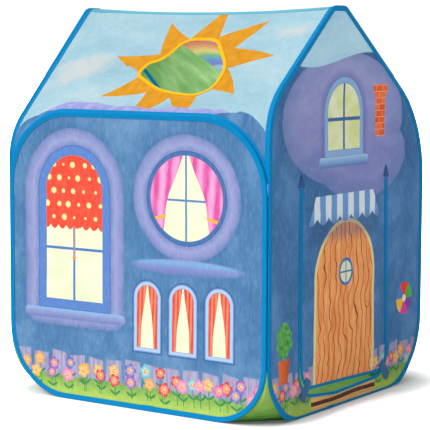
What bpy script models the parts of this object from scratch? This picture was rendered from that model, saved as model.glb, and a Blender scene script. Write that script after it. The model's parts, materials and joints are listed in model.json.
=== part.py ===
"""Children's pop-up play house tent.

Four closed spring-steel hoops, each inside a folded fabric binding, spread the
printed walls, the pitched roof with its window, and the floor. The door is a
flap that hangs from the gable wall and is held shut by two straps.

Metres, +Z up. The origin is on the ground at the middle of the footprint. The
long front wall faces -Y and the gable with the door faces +X.
"""

from functools import lru_cache
from math import acos, asin, atan2, cos, pi, radians, sin, sqrt, tan

import bmesh
import bpy
from mathutils import Matrix, Vector

# Overall size of the tent, over the hoops
WIDTH = 0.82
DEPTH = 0.79
HEIGHT = 1.02
FRONT_WALL_HEIGHT = 0.75
BACK_WALL_HEIGHT = 0.72

# Shared by all pieces
CLEARANCE = 0.0003
FABRIC = 0.0012

# Hoop: wire, the ferrule that joins its ends, and the binding folded round both
WIRE_RADIUS = 0.0013
FERRULE_WALL = 0.0005
FERRULE_LENGTH = 0.030
FERRULE_OFFSET = 0.045
BINDING_WALL = 0.0011
BINDING_LEG = 0.0095
FLOOR_CORNER_RADIUS = 0.180
NEAR_CORNER_RADIUS = 0.145
WALL_TOP_RADIUS = 0.190

# Outline of the two gable hoops, on the wire's centre line
RIGHT_EAVE_FRONT = 0.775
RIGHT_EAVE_BACK = 0.716
RIGHT_PEAK_Y = -0.066
LEFT_EAVE_FRONT = 0.685
LEFT_EAVE_BACK = 0.700
LEFT_PEAK_Y = -0.032
EAVE_FRONT_RADIUS = 0.160
EAVE_BACK_RADIUS = 0.300
PEAK_WIDTH = 0.060
PEAK_RADIUS = 0.030

# Roof: the ridge sags between the gables, and the slopes draw out to them
RIDGE_SAG = 0.012
RIDGE_SETBACK = 0.0010
RIDGE_TAPE_LEG = 0.0040
RIDGE_TAPE_THICKNESS = 0.0008
RIDGE_TAPE_LIFT = 0.0009

# Window in the front slope, as a rounded pear lying on its side
WINDOW_X = 0.055
WINDOW_RISE = 0.190
WINDOW_WIDTH = 0.260
WINDOW_HEIGHT = 0.226
WINDOW_CUT_DEPTH = 0.020

# Narrow trim that edges the window, the doorway and the flap
TRIM_WALL = 0.0006
TRIM_LEG = 0.0060

# Doorway in the right gable: its sides lean, and its sill hangs lowest at one point
DOOR_FRONT_TOP_Y = -0.243
DOOR_FRONT_FOOT_Y = -0.245
DOOR_BACK_TOP_Y = 0.184
DOOR_BACK_FOOT_Y = 0.200
DOOR_TOP = 0.575
SILL_FRONT_Z = 0.057
SILL_LOW_Y = -0.070
SILL_LOW_Z = 0.039
SILL_LOW_RADIUS = 0.300
SILL_BACK_Z = 0.047
DOOR_CORNER_RADIUS = 0.045
SLIT_END_RADIUS = 0.0015

# Flap: it meets the slits at its top and stands off them at its front foot
SLIT_GAP = 0.0010
FLAP_FRONT_FOOT_Y = -0.2355
HEM_FRONT_Z = 0.068
HEM_BACK_Z = 0.054
FLAP_CORNER_RADIUS = 0.038
TRIM_TOP_GAP = 0.004

# Stitched-on triangles that stop the slits from tearing
PATCH_WIDTH = 0.029
PATCH_HEIGHT = 0.031
PATCH_THICKNESS = 0.0008
PATCH_LIFT = 0.003

# Straps across the two lower corners of the flap
STRAP_LENGTH = 0.060
STRAP_WIDTH = 0.027
STRAP_THICKNESS = 0.0010
STRAP_FRONT_ANGLE = radians(58)
STRAP_BACK_ANGLE = radians(47)
STRAP_FRONT_SHIFT = 0
STRAP_BACK_SHIFT = 0.012
GRIP_LENGTH = 0.012
GRIP_WIDTH = 0.024
LOOP_THICKNESS = 0.0005
HOOK_THICKNESS = 0.0005
STRAP_END_MARGIN = 0.002

# Tape that joins the upright runs of neighbouring hoops
JOINING_TAPE_WIDTH = 0.0080
JOINING_TAPE_THICKNESS = 0.0010

# Corner gussets between the hoops' lower bends
GUSSET_TOP_WIDTH = 0.004
GUSSET_BULGE = 0.008
GUSSET_FIRST_STEP_SHARE = 1.2

# Window corners: places as shares of its width and height, and the share of the
# shorter side beside each corner that its rounding takes
WINDOW_CORNER_SHARES = (
    (-0.500, -0.150, 0.39),
    (-0.077, -0.434, 0.37),
    (0.508, -0.522, 0.52),
    (0.492, -0.022, 0.37),
    (0.135, 0.500, 0.31),
    (-0.230, 0.500, 0.30),
    (-0.330, 0.110, 0.70),
    (-0.470, 0.050, 0.27),
)

# Facets
ARC_STEPS = 7
SMALL_ARC_STEPS = 3
WIRE_SIDES = 8
BEAD_STEPS = 6
PROFILE_STEPS = 16
ROOF_UPPER_ROWS = 6
ROOF_LOWER_ROWS = 16
ROOF_UPPER_SHARE = 0.5
ROOF_COLUMNS = 8
GUSSET_COLUMNS = 4
ROOT_SIDES = 10
SMOOTH_ANGLE = radians(35)

# Derived sizes of a hoop's section and of where the hoops stand
FERRULE_BORE = WIRE_RADIUS + CLEARANCE
FERRULE_RADIUS = FERRULE_BORE + FERRULE_WALL
CAVITY_RADIUS = FERRULE_RADIUS + CLEARANCE
BEAD_RADIUS = CAVITY_RADIUS + BINDING_WALL
SLOT_HALF = FABRIC / 2 + CLEARANCE
PANEL_INSET = CAVITY_RADIUS + CLEARANCE
HOOP_STEP = (2 * BEAD_RADIUS + CLEARANCE) / sqrt(2)
WALL_PLANE = DEPTH / 2 - BEAD_RADIUS
GABLE_PLANE = WIDTH / 2 - BEAD_RADIUS
WALL_HALF = GABLE_PLANE - HOOP_STEP
GABLE_HALF = WALL_PLANE - HOOP_STEP
HOOP_BASE = BEAD_RADIUS
GABLE_TOP = HEIGHT - BEAD_RADIUS
EDGE_STANDOFF = BEAD_RADIUS + CLEARANCE + FABRIC / 2
ROOF_END = GABLE_PLANE - EDGE_STANDOFF

# Derived sizes of the doorway, flap and strap
FLAP_INSET = 2 * (CLEARANCE + TRIM_WALL) + SLIT_GAP
WALL_FACE = GABLE_PLANE + FABRIC / 2
LOOP_BASE = WALL_FACE + CLEARANCE
HOOK_BASE = LOOP_BASE + LOOP_THICKNESS + CLEARANCE
STRAP_BASE = HOOK_BASE + HOOK_THICKNESS + CLEARANCE
STRAP_TOP = STRAP_BASE + STRAP_THICKNESS
STRAP_ROOT_RADIUS = (STRAP_TOP - LOOP_BASE) / 2
STRAP_AXIS_X = LOOP_BASE + STRAP_ROOT_RADIUS
GRIP_START = DOOR_CORNER_RADIUS + TRIM_LEG + CLEARANCE
STRAP_REACH = GRIP_START + GRIP_LENGTH + STRAP_END_MARGIN

WALL_TOPS = {-1: FRONT_WALL_HEIGHT - BEAD_RADIUS, 1: BACK_WALL_HEIGHT - BEAD_RADIUS}
SIDE_NAMES = {-1: "left", 1: "right"}
END_NAMES = {-1: "front", 1: "back"}
EAVES = {
    (-1, -1): (LEFT_EAVE_FRONT, EAVE_FRONT_RADIUS),
    (-1, 1): (LEFT_EAVE_BACK, EAVE_BACK_RADIUS),
    (1, -1): (RIGHT_EAVE_FRONT, EAVE_FRONT_RADIUS),
    (1, 1): (RIGHT_EAVE_BACK, EAVE_BACK_RADIUS),
}
PEAKS = {-1: LEFT_PEAK_Y, 1: RIGHT_PEAK_Y}
FLOOR_RADII = {
    (-1, -1): FLOOR_CORNER_RADIUS,
    (-1, 1): NEAR_CORNER_RADIUS,
    (1, -1): FLOOR_CORNER_RADIUS,
    (1, 1): FLOOR_CORNER_RADIUS,
}


def clear_scene():
    for obj in list(bpy.data.objects):
        bpy.data.objects.remove(obj, do_unlink=True)


def linear(channel):
    """Linear value of one sRGB channel given in 0 to 1."""
    if channel <= 0.04045:
        return channel / 12.92
    return ((channel + 0.055) / 1.055) ** 2.4


def material(name, colour, roughness, metallic=0.0):
    """A plain Principled material from an sRGB hex colour."""
    found = bpy.data.materials.get(name)
    if found:
        return found
    made = bpy.data.materials.new(name)
    made.use_nodes = True
    channels = [int(colour[i:i + 2], 16) / 255 for i in (0, 2, 4)]
    shader = made.node_tree.nodes["Principled BSDF"]
    shader.inputs["Base Color"].default_value = [linear(c) for c in channels] + [1.0]
    shader.inputs["Roughness"].default_value = roughness
    shader.inputs["Metallic"].default_value = metallic
    return made


def spring_steel():
    return material("spring_steel", "7d8288", 0.35, 1.0)


def crimped_steel():
    return material("crimped_steel", "b4b8bc", 0.3, 1.0)


def blue_binding():
    return material("blue_binding", "0a93d8", 0.75)


def wall_fabric():
    return material("wall_fabric", "5b86b0", 0.7)


def roof_fabric():
    return material("roof_fabric", "afd7e4", 0.7)


def floor_fabric():
    return material("floor_fabric", "5a9a4c", 0.7)


def ridge_fabric():
    return material("ridge_fabric", "5cb8cc", 0.75)


def yellow_trim():
    return material("yellow_trim", "f7b70a", 0.75)


def door_fabric():
    return material("door_fabric", "e39a55", 0.7)


def strap_webbing():
    return material("strap_webbing", "5f7f9c", 0.85)


def patch_fabric():
    return material("patch_fabric", "23639a", 0.8)


def grip_tape():
    return material("grip_tape", "3c4a5c", 0.95)


def finish(name, bm, look):
    """Turn a bmesh into a named object with its faces pointing out."""
    bmesh.ops.recalc_face_normals(bm, faces=bm.faces)
    mesh = bpy.data.meshes.new(name)
    bm.to_mesh(mesh)
    bm.free()
    mesh.materials.append(look)
    mesh.shade_smooth()
    mesh.set_sharp_from_angle(angle=SMOOTH_ANGLE)
    piece = bpy.data.objects.new(name, mesh)
    bpy.context.scene.collection.objects.link(piece)
    return piece


def hide_cutter(cutter):
    cutter.hide_render = True
    cutter.display_type = "WIRE"


def cut(piece, cutter):
    """Cut one closed shape out of a piece with an exact boolean."""
    hide_cutter(cutter)
    boolean = piece.modifiers.new("cut", "BOOLEAN")
    boolean.operation = "DIFFERENCE"
    boolean.solver = "EXACT"
    boolean.object = cutter


def rounded(corners, radii, closed=True, steps=ARC_STEPS):
    """Points and outward normals of an anticlockwise outline with round corners."""
    points = [Vector(corner) for corner in corners]
    count = len(points)
    outline = []
    for i, corner in enumerate(points):
        if not closed and i in (0, count - 1):
            first, second = (0, 1) if i == 0 else (count - 2, count - 1)
            run = (points[second] - points[first]).normalized()
            outline.append((corner, Vector((run.y, -run.x))))
            continue
        run_in = (corner - points[i - 1]).normalized()
        run_out = (points[(i + 1) % count] - corner).normalized()
        turn = atan2(run_in.cross(run_out), run_in.dot(run_out))
        reach = radii[i] * tan(abs(turn) / 2)
        side = 1 if turn > 0 else -1
        normal = Vector((run_in.y, -run_in.x))
        centre = corner - run_in * reach - normal * radii[i] * side
        for step in range(steps + 1):
            angle = turn * step / steps
            spun = Matrix.Rotation(angle, 2) @ normal
            outline.append((centre + spun * radii[i] * side, spun))
    return outline


def corner_radii(corners, shares):
    """Radii that round each corner over a share of the shorter side beside it."""
    points = [Vector(corner) for corner in corners]
    radii = []
    for i, corner in enumerate(points):
        side_in = corner - points[i - 1]
        side_out = points[(i + 1) % len(points)] - corner
        turn = atan2(side_in.cross(side_out), side_in.dot(side_out))
        reach = shares[i] * min(side_in.length, side_out.length)
        radii.append(reach / tan(abs(turn) / 2))
    return radii


def circle_outline(sides):
    """A point with a fan of normals, so that a section turns about it."""
    angles = [2 * pi * i / sides for i in range(sides)]
    return [(Vector((0, 0)), Vector((cos(a), sin(a)))) for a in angles]


def sweep(name, outline, section, place, look, closed=True):
    """Carry a section of (outward, across) points along an outline."""
    bm = bmesh.new()
    rings = []
    for point, normal in outline:
        ring = [bm.verts.new(place(point + normal * out, across)) for out, across in section]
        rings.append(ring)
    pairs = list(zip(rings, rings[1:]))
    if closed:
        pairs.append((rings[-1], rings[0]))
    else:
        bm.faces.new(rings[0])
        bm.faces.new(rings[-1])
    count = len(section)
    for ring, following in pairs:
        for i in range(count):
            j = (i + 1) % count
            bm.faces.new((ring[i], ring[j], following[j], following[i]))
    return finish(name, bm, look)


def plate(name, points, place, near, far, look):
    """A flat piece with the given edge, from one depth to another."""
    bm = bmesh.new()
    rings = [[bm.verts.new(place(point, depth)) for point in points] for depth in (near, far)]
    for ring in rings:
        bm.faces.new(ring)
    for i in range(len(points)):
        j = (i + 1) % len(points)
        bm.faces.new((rings[0][i], rings[0][j], rings[1][j], rings[1][i]))
    return finish(name, bm, look)


def offset(outline, distance):
    """Points of an outline moved outwards."""
    return [point + normal * distance for point, normal in outline]


def edge_points(outline):
    return [point for point, normal in outline]


def on_wall(end):
    """Places wall coordinates (x, z) on the front or back hoop's plane."""
    return lambda point, across: Vector((point.x, end * WALL_PLANE + across, point.y))


def on_gable(side):
    """Places gable coordinates (y, z) on the left or right hoop's plane."""
    return lambda point, across: Vector((side * GABLE_PLANE + across, point.x, point.y))


def wall_outline(end):
    top = WALL_TOPS[end]
    corners = (
        (-WALL_HALF, HOOP_BASE),
        (WALL_HALF, HOOP_BASE),
        (WALL_HALF, top),
        (-WALL_HALF, top),
    )
    radii = (FLOOR_RADII[end, -1], FLOOR_RADII[end, 1], WALL_TOP_RADIUS, WALL_TOP_RADIUS)
    return rounded(corners, radii)


def gable_outline(side):
    front_eave, front_radius = EAVES[side, -1]
    back_eave, back_radius = EAVES[side, 1]
    corners = (
        (-GABLE_HALF, HOOP_BASE),
        (GABLE_HALF, HOOP_BASE),
        (GABLE_HALF, back_eave),
        (PEAKS[side] + PEAK_WIDTH / 2, GABLE_TOP),
        (PEAKS[side] - PEAK_WIDTH / 2, GABLE_TOP),
        (-GABLE_HALF, front_eave),
    )
    radii = (FLOOR_RADII[-1, side], FLOOR_RADII[1, side], back_radius,
             PEAK_RADIUS, PEAK_RADIUS, front_radius)
    return rounded(corners, radii)


def wire_section():
    angles = [2 * pi * i / WIRE_SIDES for i in range(WIRE_SIDES)]
    return [(WIRE_RADIUS * cos(a), WIRE_RADIUS * sin(a)) for a in angles]


def binding_section():
    """A bead round the wire's cavity, open inwards between two flat legs."""
    leg_half = SLOT_HALF + BINDING_WALL
    outer_end = pi - asin(leg_half / BEAD_RADIUS)
    inner_end = pi - asin(SLOT_HALF / CAVITY_RADIUS)
    section = []
    for i in range(BEAD_STEPS + 1):
        angle = outer_end * (2 * i / BEAD_STEPS - 1)
        section.append((BEAD_RADIUS * cos(angle), BEAD_RADIUS * sin(angle)))
    section.append((-BINDING_LEG, leg_half))
    section.append((-BINDING_LEG, SLOT_HALF))
    facet = cos(inner_end / BEAD_STEPS)
    for i in range(BEAD_STEPS + 1):
        angle = inner_end * (1 - 2 * i / BEAD_STEPS)
        radius = CAVITY_RADIUS if i in (0, BEAD_STEPS) else CAVITY_RADIUS / facet
        section.append((radius * cos(angle), radius * sin(angle)))
    section.append((-BINDING_LEG, -SLOT_HALF))
    section.append((-BINDING_LEG, -leg_half))
    return section


def build_hoop(name, outline, place, ferrule_place):
    """Wire, ferrule and binding of one hoop."""
    sweep(name + "_hoop_wire", outline, wire_section(), place, spring_steel())
    sweep(name + "_hoop_binding", outline, binding_section(), place, blue_binding())
    half = FERRULE_LENGTH / 2
    section = [(FERRULE_BORE / cos(pi / WIRE_SIDES), -half), (FERRULE_RADIUS, -half),
               (FERRULE_RADIUS, half), (FERRULE_BORE / cos(pi / WIRE_SIDES), half)]
    sweep(name + "_hoop_ferrule", circle_outline(WIRE_SIDES), section, ferrule_place,
          crimped_steel())


def build_hoops():
    for end in (-1, 1):
        def ferrule_place(point, along, end=end):
            return Vector((-FERRULE_OFFSET + along, end * WALL_PLANE + point.x,
                           HOOP_BASE + point.y))
        build_hoop(END_NAMES[end], wall_outline(end), on_wall(end), ferrule_place)
    for side in (-1, 1):
        def ferrule_place(point, along, side=side):
            return Vector((side * GABLE_PLANE + point.x, -FERRULE_OFFSET + along,
                           HOOP_BASE + point.y))
        build_hoop(SIDE_NAMES[side], gable_outline(side), on_gable(side), ferrule_place)


def build_wall_panels():
    for end in (-1, 1):
        edge = offset(wall_outline(end), -PANEL_INSET)
        plate(END_NAMES[end] + "_wall_panel", edge, on_wall(end), -FABRIC / 2, FABRIC / 2,
              wall_fabric())


def side_point(top, foot, z):
    """Point at a height on the line from a side's top to its foot."""
    share = (top.y - z) / (top.y - foot.y)
    return top.lerp(foot, share)


def doorway_corners(top):
    """The doorway's corners from its front top round the sill, as (y, z)."""
    front_foot = Vector((DOOR_FRONT_FOOT_Y, SILL_FRONT_Z))
    back_foot = Vector((DOOR_BACK_FOOT_Y, SILL_BACK_Z))
    front_top = side_point(Vector((DOOR_FRONT_TOP_Y, DOOR_TOP)), front_foot, top)
    back_top = side_point(Vector((DOOR_BACK_TOP_Y, DOOR_TOP)), back_foot, top)
    return [front_top, front_foot, Vector((SILL_LOW_Y, SILL_LOW_Z)), back_foot, back_top]


def doorway_path(top):
    """Edge of the doorway down one side, along the sill and up the other."""
    radii = (0, DOOR_CORNER_RADIUS, SILL_LOW_RADIUS, DOOR_CORNER_RADIUS, 0)
    return rounded(doorway_corners(top), radii, closed=False, steps=SMALL_ARC_STEPS)


def doorway_outline():
    radii = (SLIT_END_RADIUS, DOOR_CORNER_RADIUS, SILL_LOW_RADIUS, DOOR_CORNER_RADIUS,
             SLIT_END_RADIUS)
    corners = doorway_corners(DOOR_TOP + CLEARANCE / 2)
    return rounded(corners, radii, steps=SMALL_ARC_STEPS)


def flap_path(top):
    """Edge of the flap down one side, along the hem and up the other."""
    front_foot = Vector((FLAP_FRONT_FOOT_Y, HEM_FRONT_Z))
    back_foot = Vector((DOOR_BACK_FOOT_Y - FLAP_INSET, HEM_BACK_Z))
    front_top = side_point(Vector((DOOR_FRONT_TOP_Y + FLAP_INSET, DOOR_TOP)), front_foot, top)
    back_top = side_point(Vector((DOOR_BACK_TOP_Y - FLAP_INSET, DOOR_TOP)), back_foot, top)
    corners = (front_top, front_foot, back_foot, back_top)
    radii = (0, FLAP_CORNER_RADIUS, FLAP_CORNER_RADIUS, 0)
    return rounded(corners, radii, closed=False, steps=SMALL_ARC_STEPS)


def build_gable_panels():
    for side in (-1, 1):
        edge = offset(gable_outline(side), -PANEL_INSET)
        panel = plate(SIDE_NAMES[side] + "_gable_panel", edge, on_gable(side),
                      -FABRIC / 2, FABRIC / 2, wall_fabric())
        if side == 1:
            cutter = plate("doorway_cutter", edge_points(doorway_outline()), on_gable(side),
                           -FABRIC, FABRIC, wall_fabric())
            cut(panel, cutter)


def along(path, share):
    """Point of a polyline at a share of its length."""
    lengths = [(b - a).length for a, b in zip(path, path[1:])]
    left = share * sum(lengths)
    for start, end, length in zip(path, path[1:], lengths):
        if left <= length:
            return start.lerp(end, left / length)
        left -= length
    return path[-1]


def wall_arc(end):
    """Centre height and radius of the roof's lower edge over a wall hoop's bend."""
    return WALL_TOPS[end] - WALL_TOP_RADIUS, WALL_TOP_RADIUS + EDGE_STANDOFF


def foot_height(end, x):
    """Height of the roof's lower edge over the wall hoop."""
    centre, radius = wall_arc(end)
    beyond = max(0, abs(x) - (WALL_HALF - WALL_TOP_RADIUS))
    return centre + sqrt(radius ** 2 - beyond ** 2)


def ridge_point(x):
    share = (x + ROOF_END) / (2 * ROOF_END)
    y = LEFT_PEAK_Y + (RIGHT_PEAK_Y - LEFT_PEAK_Y) * share
    sag = RIDGE_SAG * (1 - (x / ROOF_END) ** 2)
    return Vector((x, y, GABLE_TOP - sag))


def eased(before, corner, after, reach_in, reach_out):
    """Points of a curve that rounds off a corner between two reaches."""
    start = corner + (before - corner).normalized() * reach_in
    finish_point = corner + (after - corner).normalized() * reach_out
    points = []
    for step in range(PROFILE_STEPS + 1):
        share = step / PROFILE_STEPS
        points.append(start.lerp(corner, share).lerp(corner.lerp(finish_point, share), share))
    return points


@lru_cache(maxsize=None)
def slope_profile(end, x):
    """One slope's middle line in the plane of x, from the ridge to the wall hoop.

    Over the hoop's straight edge it is one straight run. Towards a gable it
    grows that gable's flat peak, rounded eave and upright run.
    """
    ridge = ridge_point(x)
    foot_z = foot_height(end, x)
    start = WALL_HALF - WALL_TOP_RADIUS
    nearness = max(0, (abs(x) - start) / (ROOF_END - start))
    edge = end * (WALL_PLANE + (GABLE_HALF - WALL_PLANE) * nearness)
    top = Vector((ridge.y, ridge.z))
    foot = Vector((edge, foot_z))
    if nearness == 0:
        return [top, foot]
    gable_eave, gable_radius = EAVES[1 if x > 0 else -1, end]
    eave_z = foot_height(end, 0) + (gable_eave - foot_height(end, 0)) * nearness
    eave = Vector((edge, max(eave_z, foot_z + CLEARANCE)))
    peak = Vector((ridge.y + end * nearness ** 2 * PEAK_WIDTH / 2, ridge.z))
    slope_angle = atan2(peak.y - eave.y, abs(eave.x - peak.x))
    peak_reach = PEAK_RADIUS * tan(slope_angle / 2) * nearness ** 2
    eave_reach = gable_radius * tan((pi / 2 - slope_angle) / 2)
    upright = min(eave_reach, eave.y - foot.y)
    return ([top] + eased(top, peak, eave, peak_reach, peak_reach)
            + eased(peak, eave, foot, eave_reach, upright) + [foot])


def roof_point(end, x, share):
    """A point of one slope's middle surface: share 0 at the ridge, 1 at the wall hoop."""
    point = along(slope_profile(end, x), share)
    return Vector((x, point.x, point.y))


def roof_columns(end):
    """Stations along X: even over the straight edge, by angle over the bends."""
    radius = wall_arc(end)[1]
    start = WALL_HALF - WALL_TOP_RADIUS
    stations = [-start + 2 * start * i / ROOF_COLUMNS for i in range(ROOF_COLUMNS + 1)]
    last = asin((ROOF_END - start) / radius)
    angles = [pi / 2 * step / ARC_STEPS for step in range(1, ARC_STEPS)]
    angles = [angle for angle in angles if angle < last] + [last]
    bend = [start + radius * sin(angle) for angle in angles]
    return [-x for x in reversed(bend)] + stations + bend


def surface(name, rows, look):
    """A sheet through rows of points, thickened evenly to both sides."""
    bm = bmesh.new()
    grid = [[bm.verts.new(point) for point in row] for row in rows]
    for row, following in zip(grid, grid[1:]):
        for i in range(len(row) - 1):
            bm.faces.new((row[i], row[i + 1], following[i + 1], following[i]))
    piece = finish(name, bm, look)
    solidify = piece.modifiers.new("thickness", "SOLIDIFY")
    solidify.thickness = FABRIC
    solidify.offset = 0
    solidify.use_even_offset = True
    return piece


def tape_foot(end, x):
    """Point of a slope under the lower edge of the ridge tape."""
    profile = slope_profile(end, x)
    length = sum((b - a).length for a, b in zip(profile, profile[1:]))
    return roof_point(end, x, RIDGE_TAPE_LEG / length)


def roof_column(end, x):
    """Points down one slope: two close to the ridge tape, then closer over the eave."""
    foot = tape_foot(end, x)
    start = ridge_point(x).lerp(foot, RIDGE_SETBACK / RIDGE_TAPE_LEG)
    lower_share = 1 - ROOF_UPPER_SHARE
    shares = [ROOF_UPPER_SHARE * row / ROOF_UPPER_ROWS for row in range(1, ROOF_UPPER_ROWS + 1)]
    shares += [ROOF_UPPER_SHARE + lower_share * row / ROOF_LOWER_ROWS
               for row in range(1, ROOF_LOWER_ROWS + 1)]
    return [start, foot] + [roof_point(end, x, share) for share in shares]


def build_roof():
    for end in (-1, 1):
        rows = list(zip(*[roof_column(end, x) for x in roof_columns(end)]))
        panel = surface("roof_%s_panel" % END_NAMES[end], rows, roof_fabric())
        if end == -1:
            cutter = window_cutter()
            cut(panel, cutter)


def window_outline():
    corners = [(WINDOW_WIDTH * x, WINDOW_HEIGHT * y) for x, y, share in WINDOW_CORNER_SHARES]
    radii = corner_radii(corners, [share for x, y, share in WINDOW_CORNER_SHARES])
    return rounded(corners, radii, steps=SMALL_ARC_STEPS)


def window_normal():
    """Upward normal of the front slope at the middle of the window."""
    foot = Vector((WINDOW_X, -WALL_PLANE, foot_height(-1, WINDOW_X)))
    slope = ridge_point(WINDOW_X) - foot
    return Vector((1, 0, 0)).cross(slope).normalized()


def on_slope(point, lift):
    """Places window coordinates, (x, distance up the slope), on the front slope."""
    foot = Vector((WINDOW_X, -WALL_PLANE, foot_height(-1, WINDOW_X)))
    slope_length = (ridge_point(WINDOW_X) - foot).length
    share = 1 - (WINDOW_RISE + point.y) / slope_length
    return roof_point(-1, WINDOW_X + point.x, share) + window_normal() * lift


def window_cutter():
    return plate("window_cutter", edge_points(window_outline()), on_slope,
                 -WINDOW_CUT_DEPTH, WINDOW_CUT_DEPTH, roof_fabric())


def trim_section(direction):
    """A narrow U that opens to +1 outwards or -1 inwards over a fabric edge."""
    thick = SLOT_HALF + TRIM_WALL
    back = -direction * (CLEARANCE + TRIM_WALL)
    inside = -direction * CLEARANCE
    leg = direction * TRIM_LEG
    return [(back, thick), (leg, thick), (leg, SLOT_HALF), (inside, SLOT_HALF),
            (inside, -SLOT_HALF), (leg, -SLOT_HALF), (leg, -thick), (back, -thick)]


def build_window_trim():
    sweep("roof_window_trim", window_outline(), trim_section(1), on_slope, yellow_trim())


def chevron(x, lift, leg):
    """Foot, apex and foot of a tape laid over the ridge, in the plane of x."""
    apex = ridge_point(x)
    runs = [(tape_foot(end, x) - apex).normalized() for end in (-1, 1)]
    normals = [Vector((0, abs(run.z) * end, abs(run.y))).normalized()
               for run, end in zip(runs, (-1, 1))]
    rise = (normals[0] + normals[1]).normalized()
    middle = apex + rise * lift / rise.dot(normals[0])
    feet = [apex + run * leg + normal * lift for run, normal in zip(runs, normals)]
    return feet[0], middle, feet[1]


def build_ridge_tape():
    base = FABRIC / 2 + RIDGE_TAPE_LIFT
    bm = bmesh.new()
    rings = []
    for x in roof_columns(-1):
        inner = chevron(x, base, RIDGE_TAPE_LEG)
        outer = chevron(x, base + RIDGE_TAPE_THICKNESS, RIDGE_TAPE_LEG)
        rings.append([bm.verts.new(point) for point in (*inner, *reversed(outer))])
    bm.faces.new(rings[0])
    bm.faces.new(rings[-1])
    for ring, following in zip(rings, rings[1:]):
        for i in range(len(ring)):
            j = (i + 1) % len(ring)
            bm.faces.new((ring[i], ring[j], following[j], following[i]))
    finish("ridge_tape", bm, ridge_fabric())


def floor_corner_reach(end, side):
    """How far a corner's cut runs along each floor edge."""
    return HOOP_STEP + FLOOR_RADII[end, side]


def build_floor():
    half_x = GABLE_PLANE - BEAD_RADIUS - CLEARANCE
    half_y = WALL_PLANE - BEAD_RADIUS - CLEARANCE
    hem = sqrt(2) * CLEARANCE
    points = []
    for sign_x, sign_y in ((1, 1), (1, -1), (-1, -1), (-1, 1)):
        diagonal = GABLE_PLANE + WALL_PLANE - floor_corner_reach(sign_y, sign_x) - hem
        quarter = ((diagonal - half_y, half_y), (half_x, diagonal - half_x))
        pair = quarter if sign_x == sign_y else tuple(reversed(quarter))
        points += [Vector((sign_x * x, sign_y * y)) for x, y in pair]
    plate("floor_panel", points, lambda point, z: Vector((point.x, point.y, z)),
          0, FABRIC, floor_fabric())


def gusset_ends(angle, radius):
    """Ends of the gusset's level line at one angle of the bends, before mirroring."""
    drop = radius * (1 - cos(angle))
    z = HOOP_BASE + radius * (1 - sin(angle))
    z -= (BEAD_RADIUS - FABRIC / 2) * (1 - cos(angle))
    stand = EDGE_STANDOFF / sqrt(1 - sin(angle) ** 2 / 2) / sqrt(2)
    wall_end = Vector((WALL_HALF - drop + stand, WALL_PLANE - stand, z))
    gable_end = Vector((GABLE_PLANE - stand, GABLE_HALF - drop + stand, z))
    return wall_end, gable_end


def build_gussets():
    clear = 2 * EDGE_STANDOFF + GUSSET_TOP_WIDTH
    for end in (-1, 1):
        for side in (-1, 1):
            radius = FLOOR_RADII[end, side]
            first = acos(1 - (clear / sqrt(2) - HOOP_STEP) / radius)
            angles = [pi / 2 * step / ARC_STEPS for step in range(ARC_STEPS + 1)]
            angles = [first] + [a for a in angles if a > first * GUSSET_FIRST_STEP_SHARE]
            rows = []
            for angle in angles:
                wall_end, gable_end = gusset_ends(angle, radius)
                row = []
                for column in range(GUSSET_COLUMNS + 1):
                    share = column / GUSSET_COLUMNS
                    point = wall_end.lerp(gable_end, share)
                    swell = GUSSET_BULGE * 4 * share * (1 - share) * sin(2 * angle)
                    point += Vector((1, 1, 0)) * swell / sqrt(2)
                    row.append(Vector((side * point.x, end * point.y, point.z)))
                rows.append(row)
            name = "gusset_%s_%s" % (END_NAMES[end], SIDE_NAMES[side])
            surface(name, rows, floor_fabric())


def build_joining_tapes():
    """Strips inside the corners, from one hoop's bead to the next one's."""
    lift = BEAD_RADIUS + CLEARANCE
    half = JOINING_TAPE_WIDTH / 2
    for end in (-1, 1):
        top = WALL_TOPS[end] - WALL_TOP_RADIUS
        for side in (-1, 1):
            bottom = HOOP_BASE + FLOOR_RADII[end, side]
            middle = Vector(((WALL_HALF + GABLE_PLANE) / 2, (WALL_PLANE + GABLE_HALF) / 2))
            run = Vector((1, -1)).normalized()
            inward = Vector((-1, -1)).normalized()
            corners = []
            for reach, depth in ((-half, lift), (half, lift),
                                 (half, lift + JOINING_TAPE_THICKNESS),
                                 (-half, lift + JOINING_TAPE_THICKNESS)):
                point = middle + run * reach + inward * depth
                corners.append(Vector((side * point.x, end * point.y)))
            name = "joining_tape_%s_%s" % (END_NAMES[end], SIDE_NAMES[side])
            plate(name, corners, lambda point, z: Vector((point.x, point.y, z)),
                  bottom, top, blue_binding())


def hinge(name, place, parent=None):
    """An empty on a hinge's axis."""
    empty = bpy.data.objects.new(name, None)
    bpy.context.scene.collection.objects.link(empty)
    empty.location = place
    if parent:
        empty.parent = parent
        empty.location = place - parent.location
    return empty


def attach(piece, empty, place):
    """Hang a piece on its hinge's empty, with its origin on the axis."""
    piece.data.transform(Matrix.Translation(-place))
    piece.parent = empty


def build_door():
    place = on_gable(1)
    edge = flap_path(DOOR_TOP - CLEARANCE / 2)
    flap = plate("door_flap", edge_points(edge), place, -FABRIC / 2, FABRIC / 2, door_fabric())

    trim_top = DOOR_TOP - TRIM_TOP_GAP
    trim = sweep("door_flap_trim", flap_path(trim_top), trim_section(-1), place,
                 blue_binding(), closed=False)
    sweep("doorway_trim", doorway_path(trim_top), trim_section(1), place,
          blue_binding(), closed=False)

    middle = (DOOR_FRONT_TOP_Y + DOOR_BACK_TOP_Y) / 2
    axis = Vector((WALL_FACE, middle, DOOR_TOP))
    door_hinge = hinge("door_hinge", axis)
    attach(flap, door_hinge, axis)
    attach(trim, door_hinge, axis)
    return door_hinge


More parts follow.
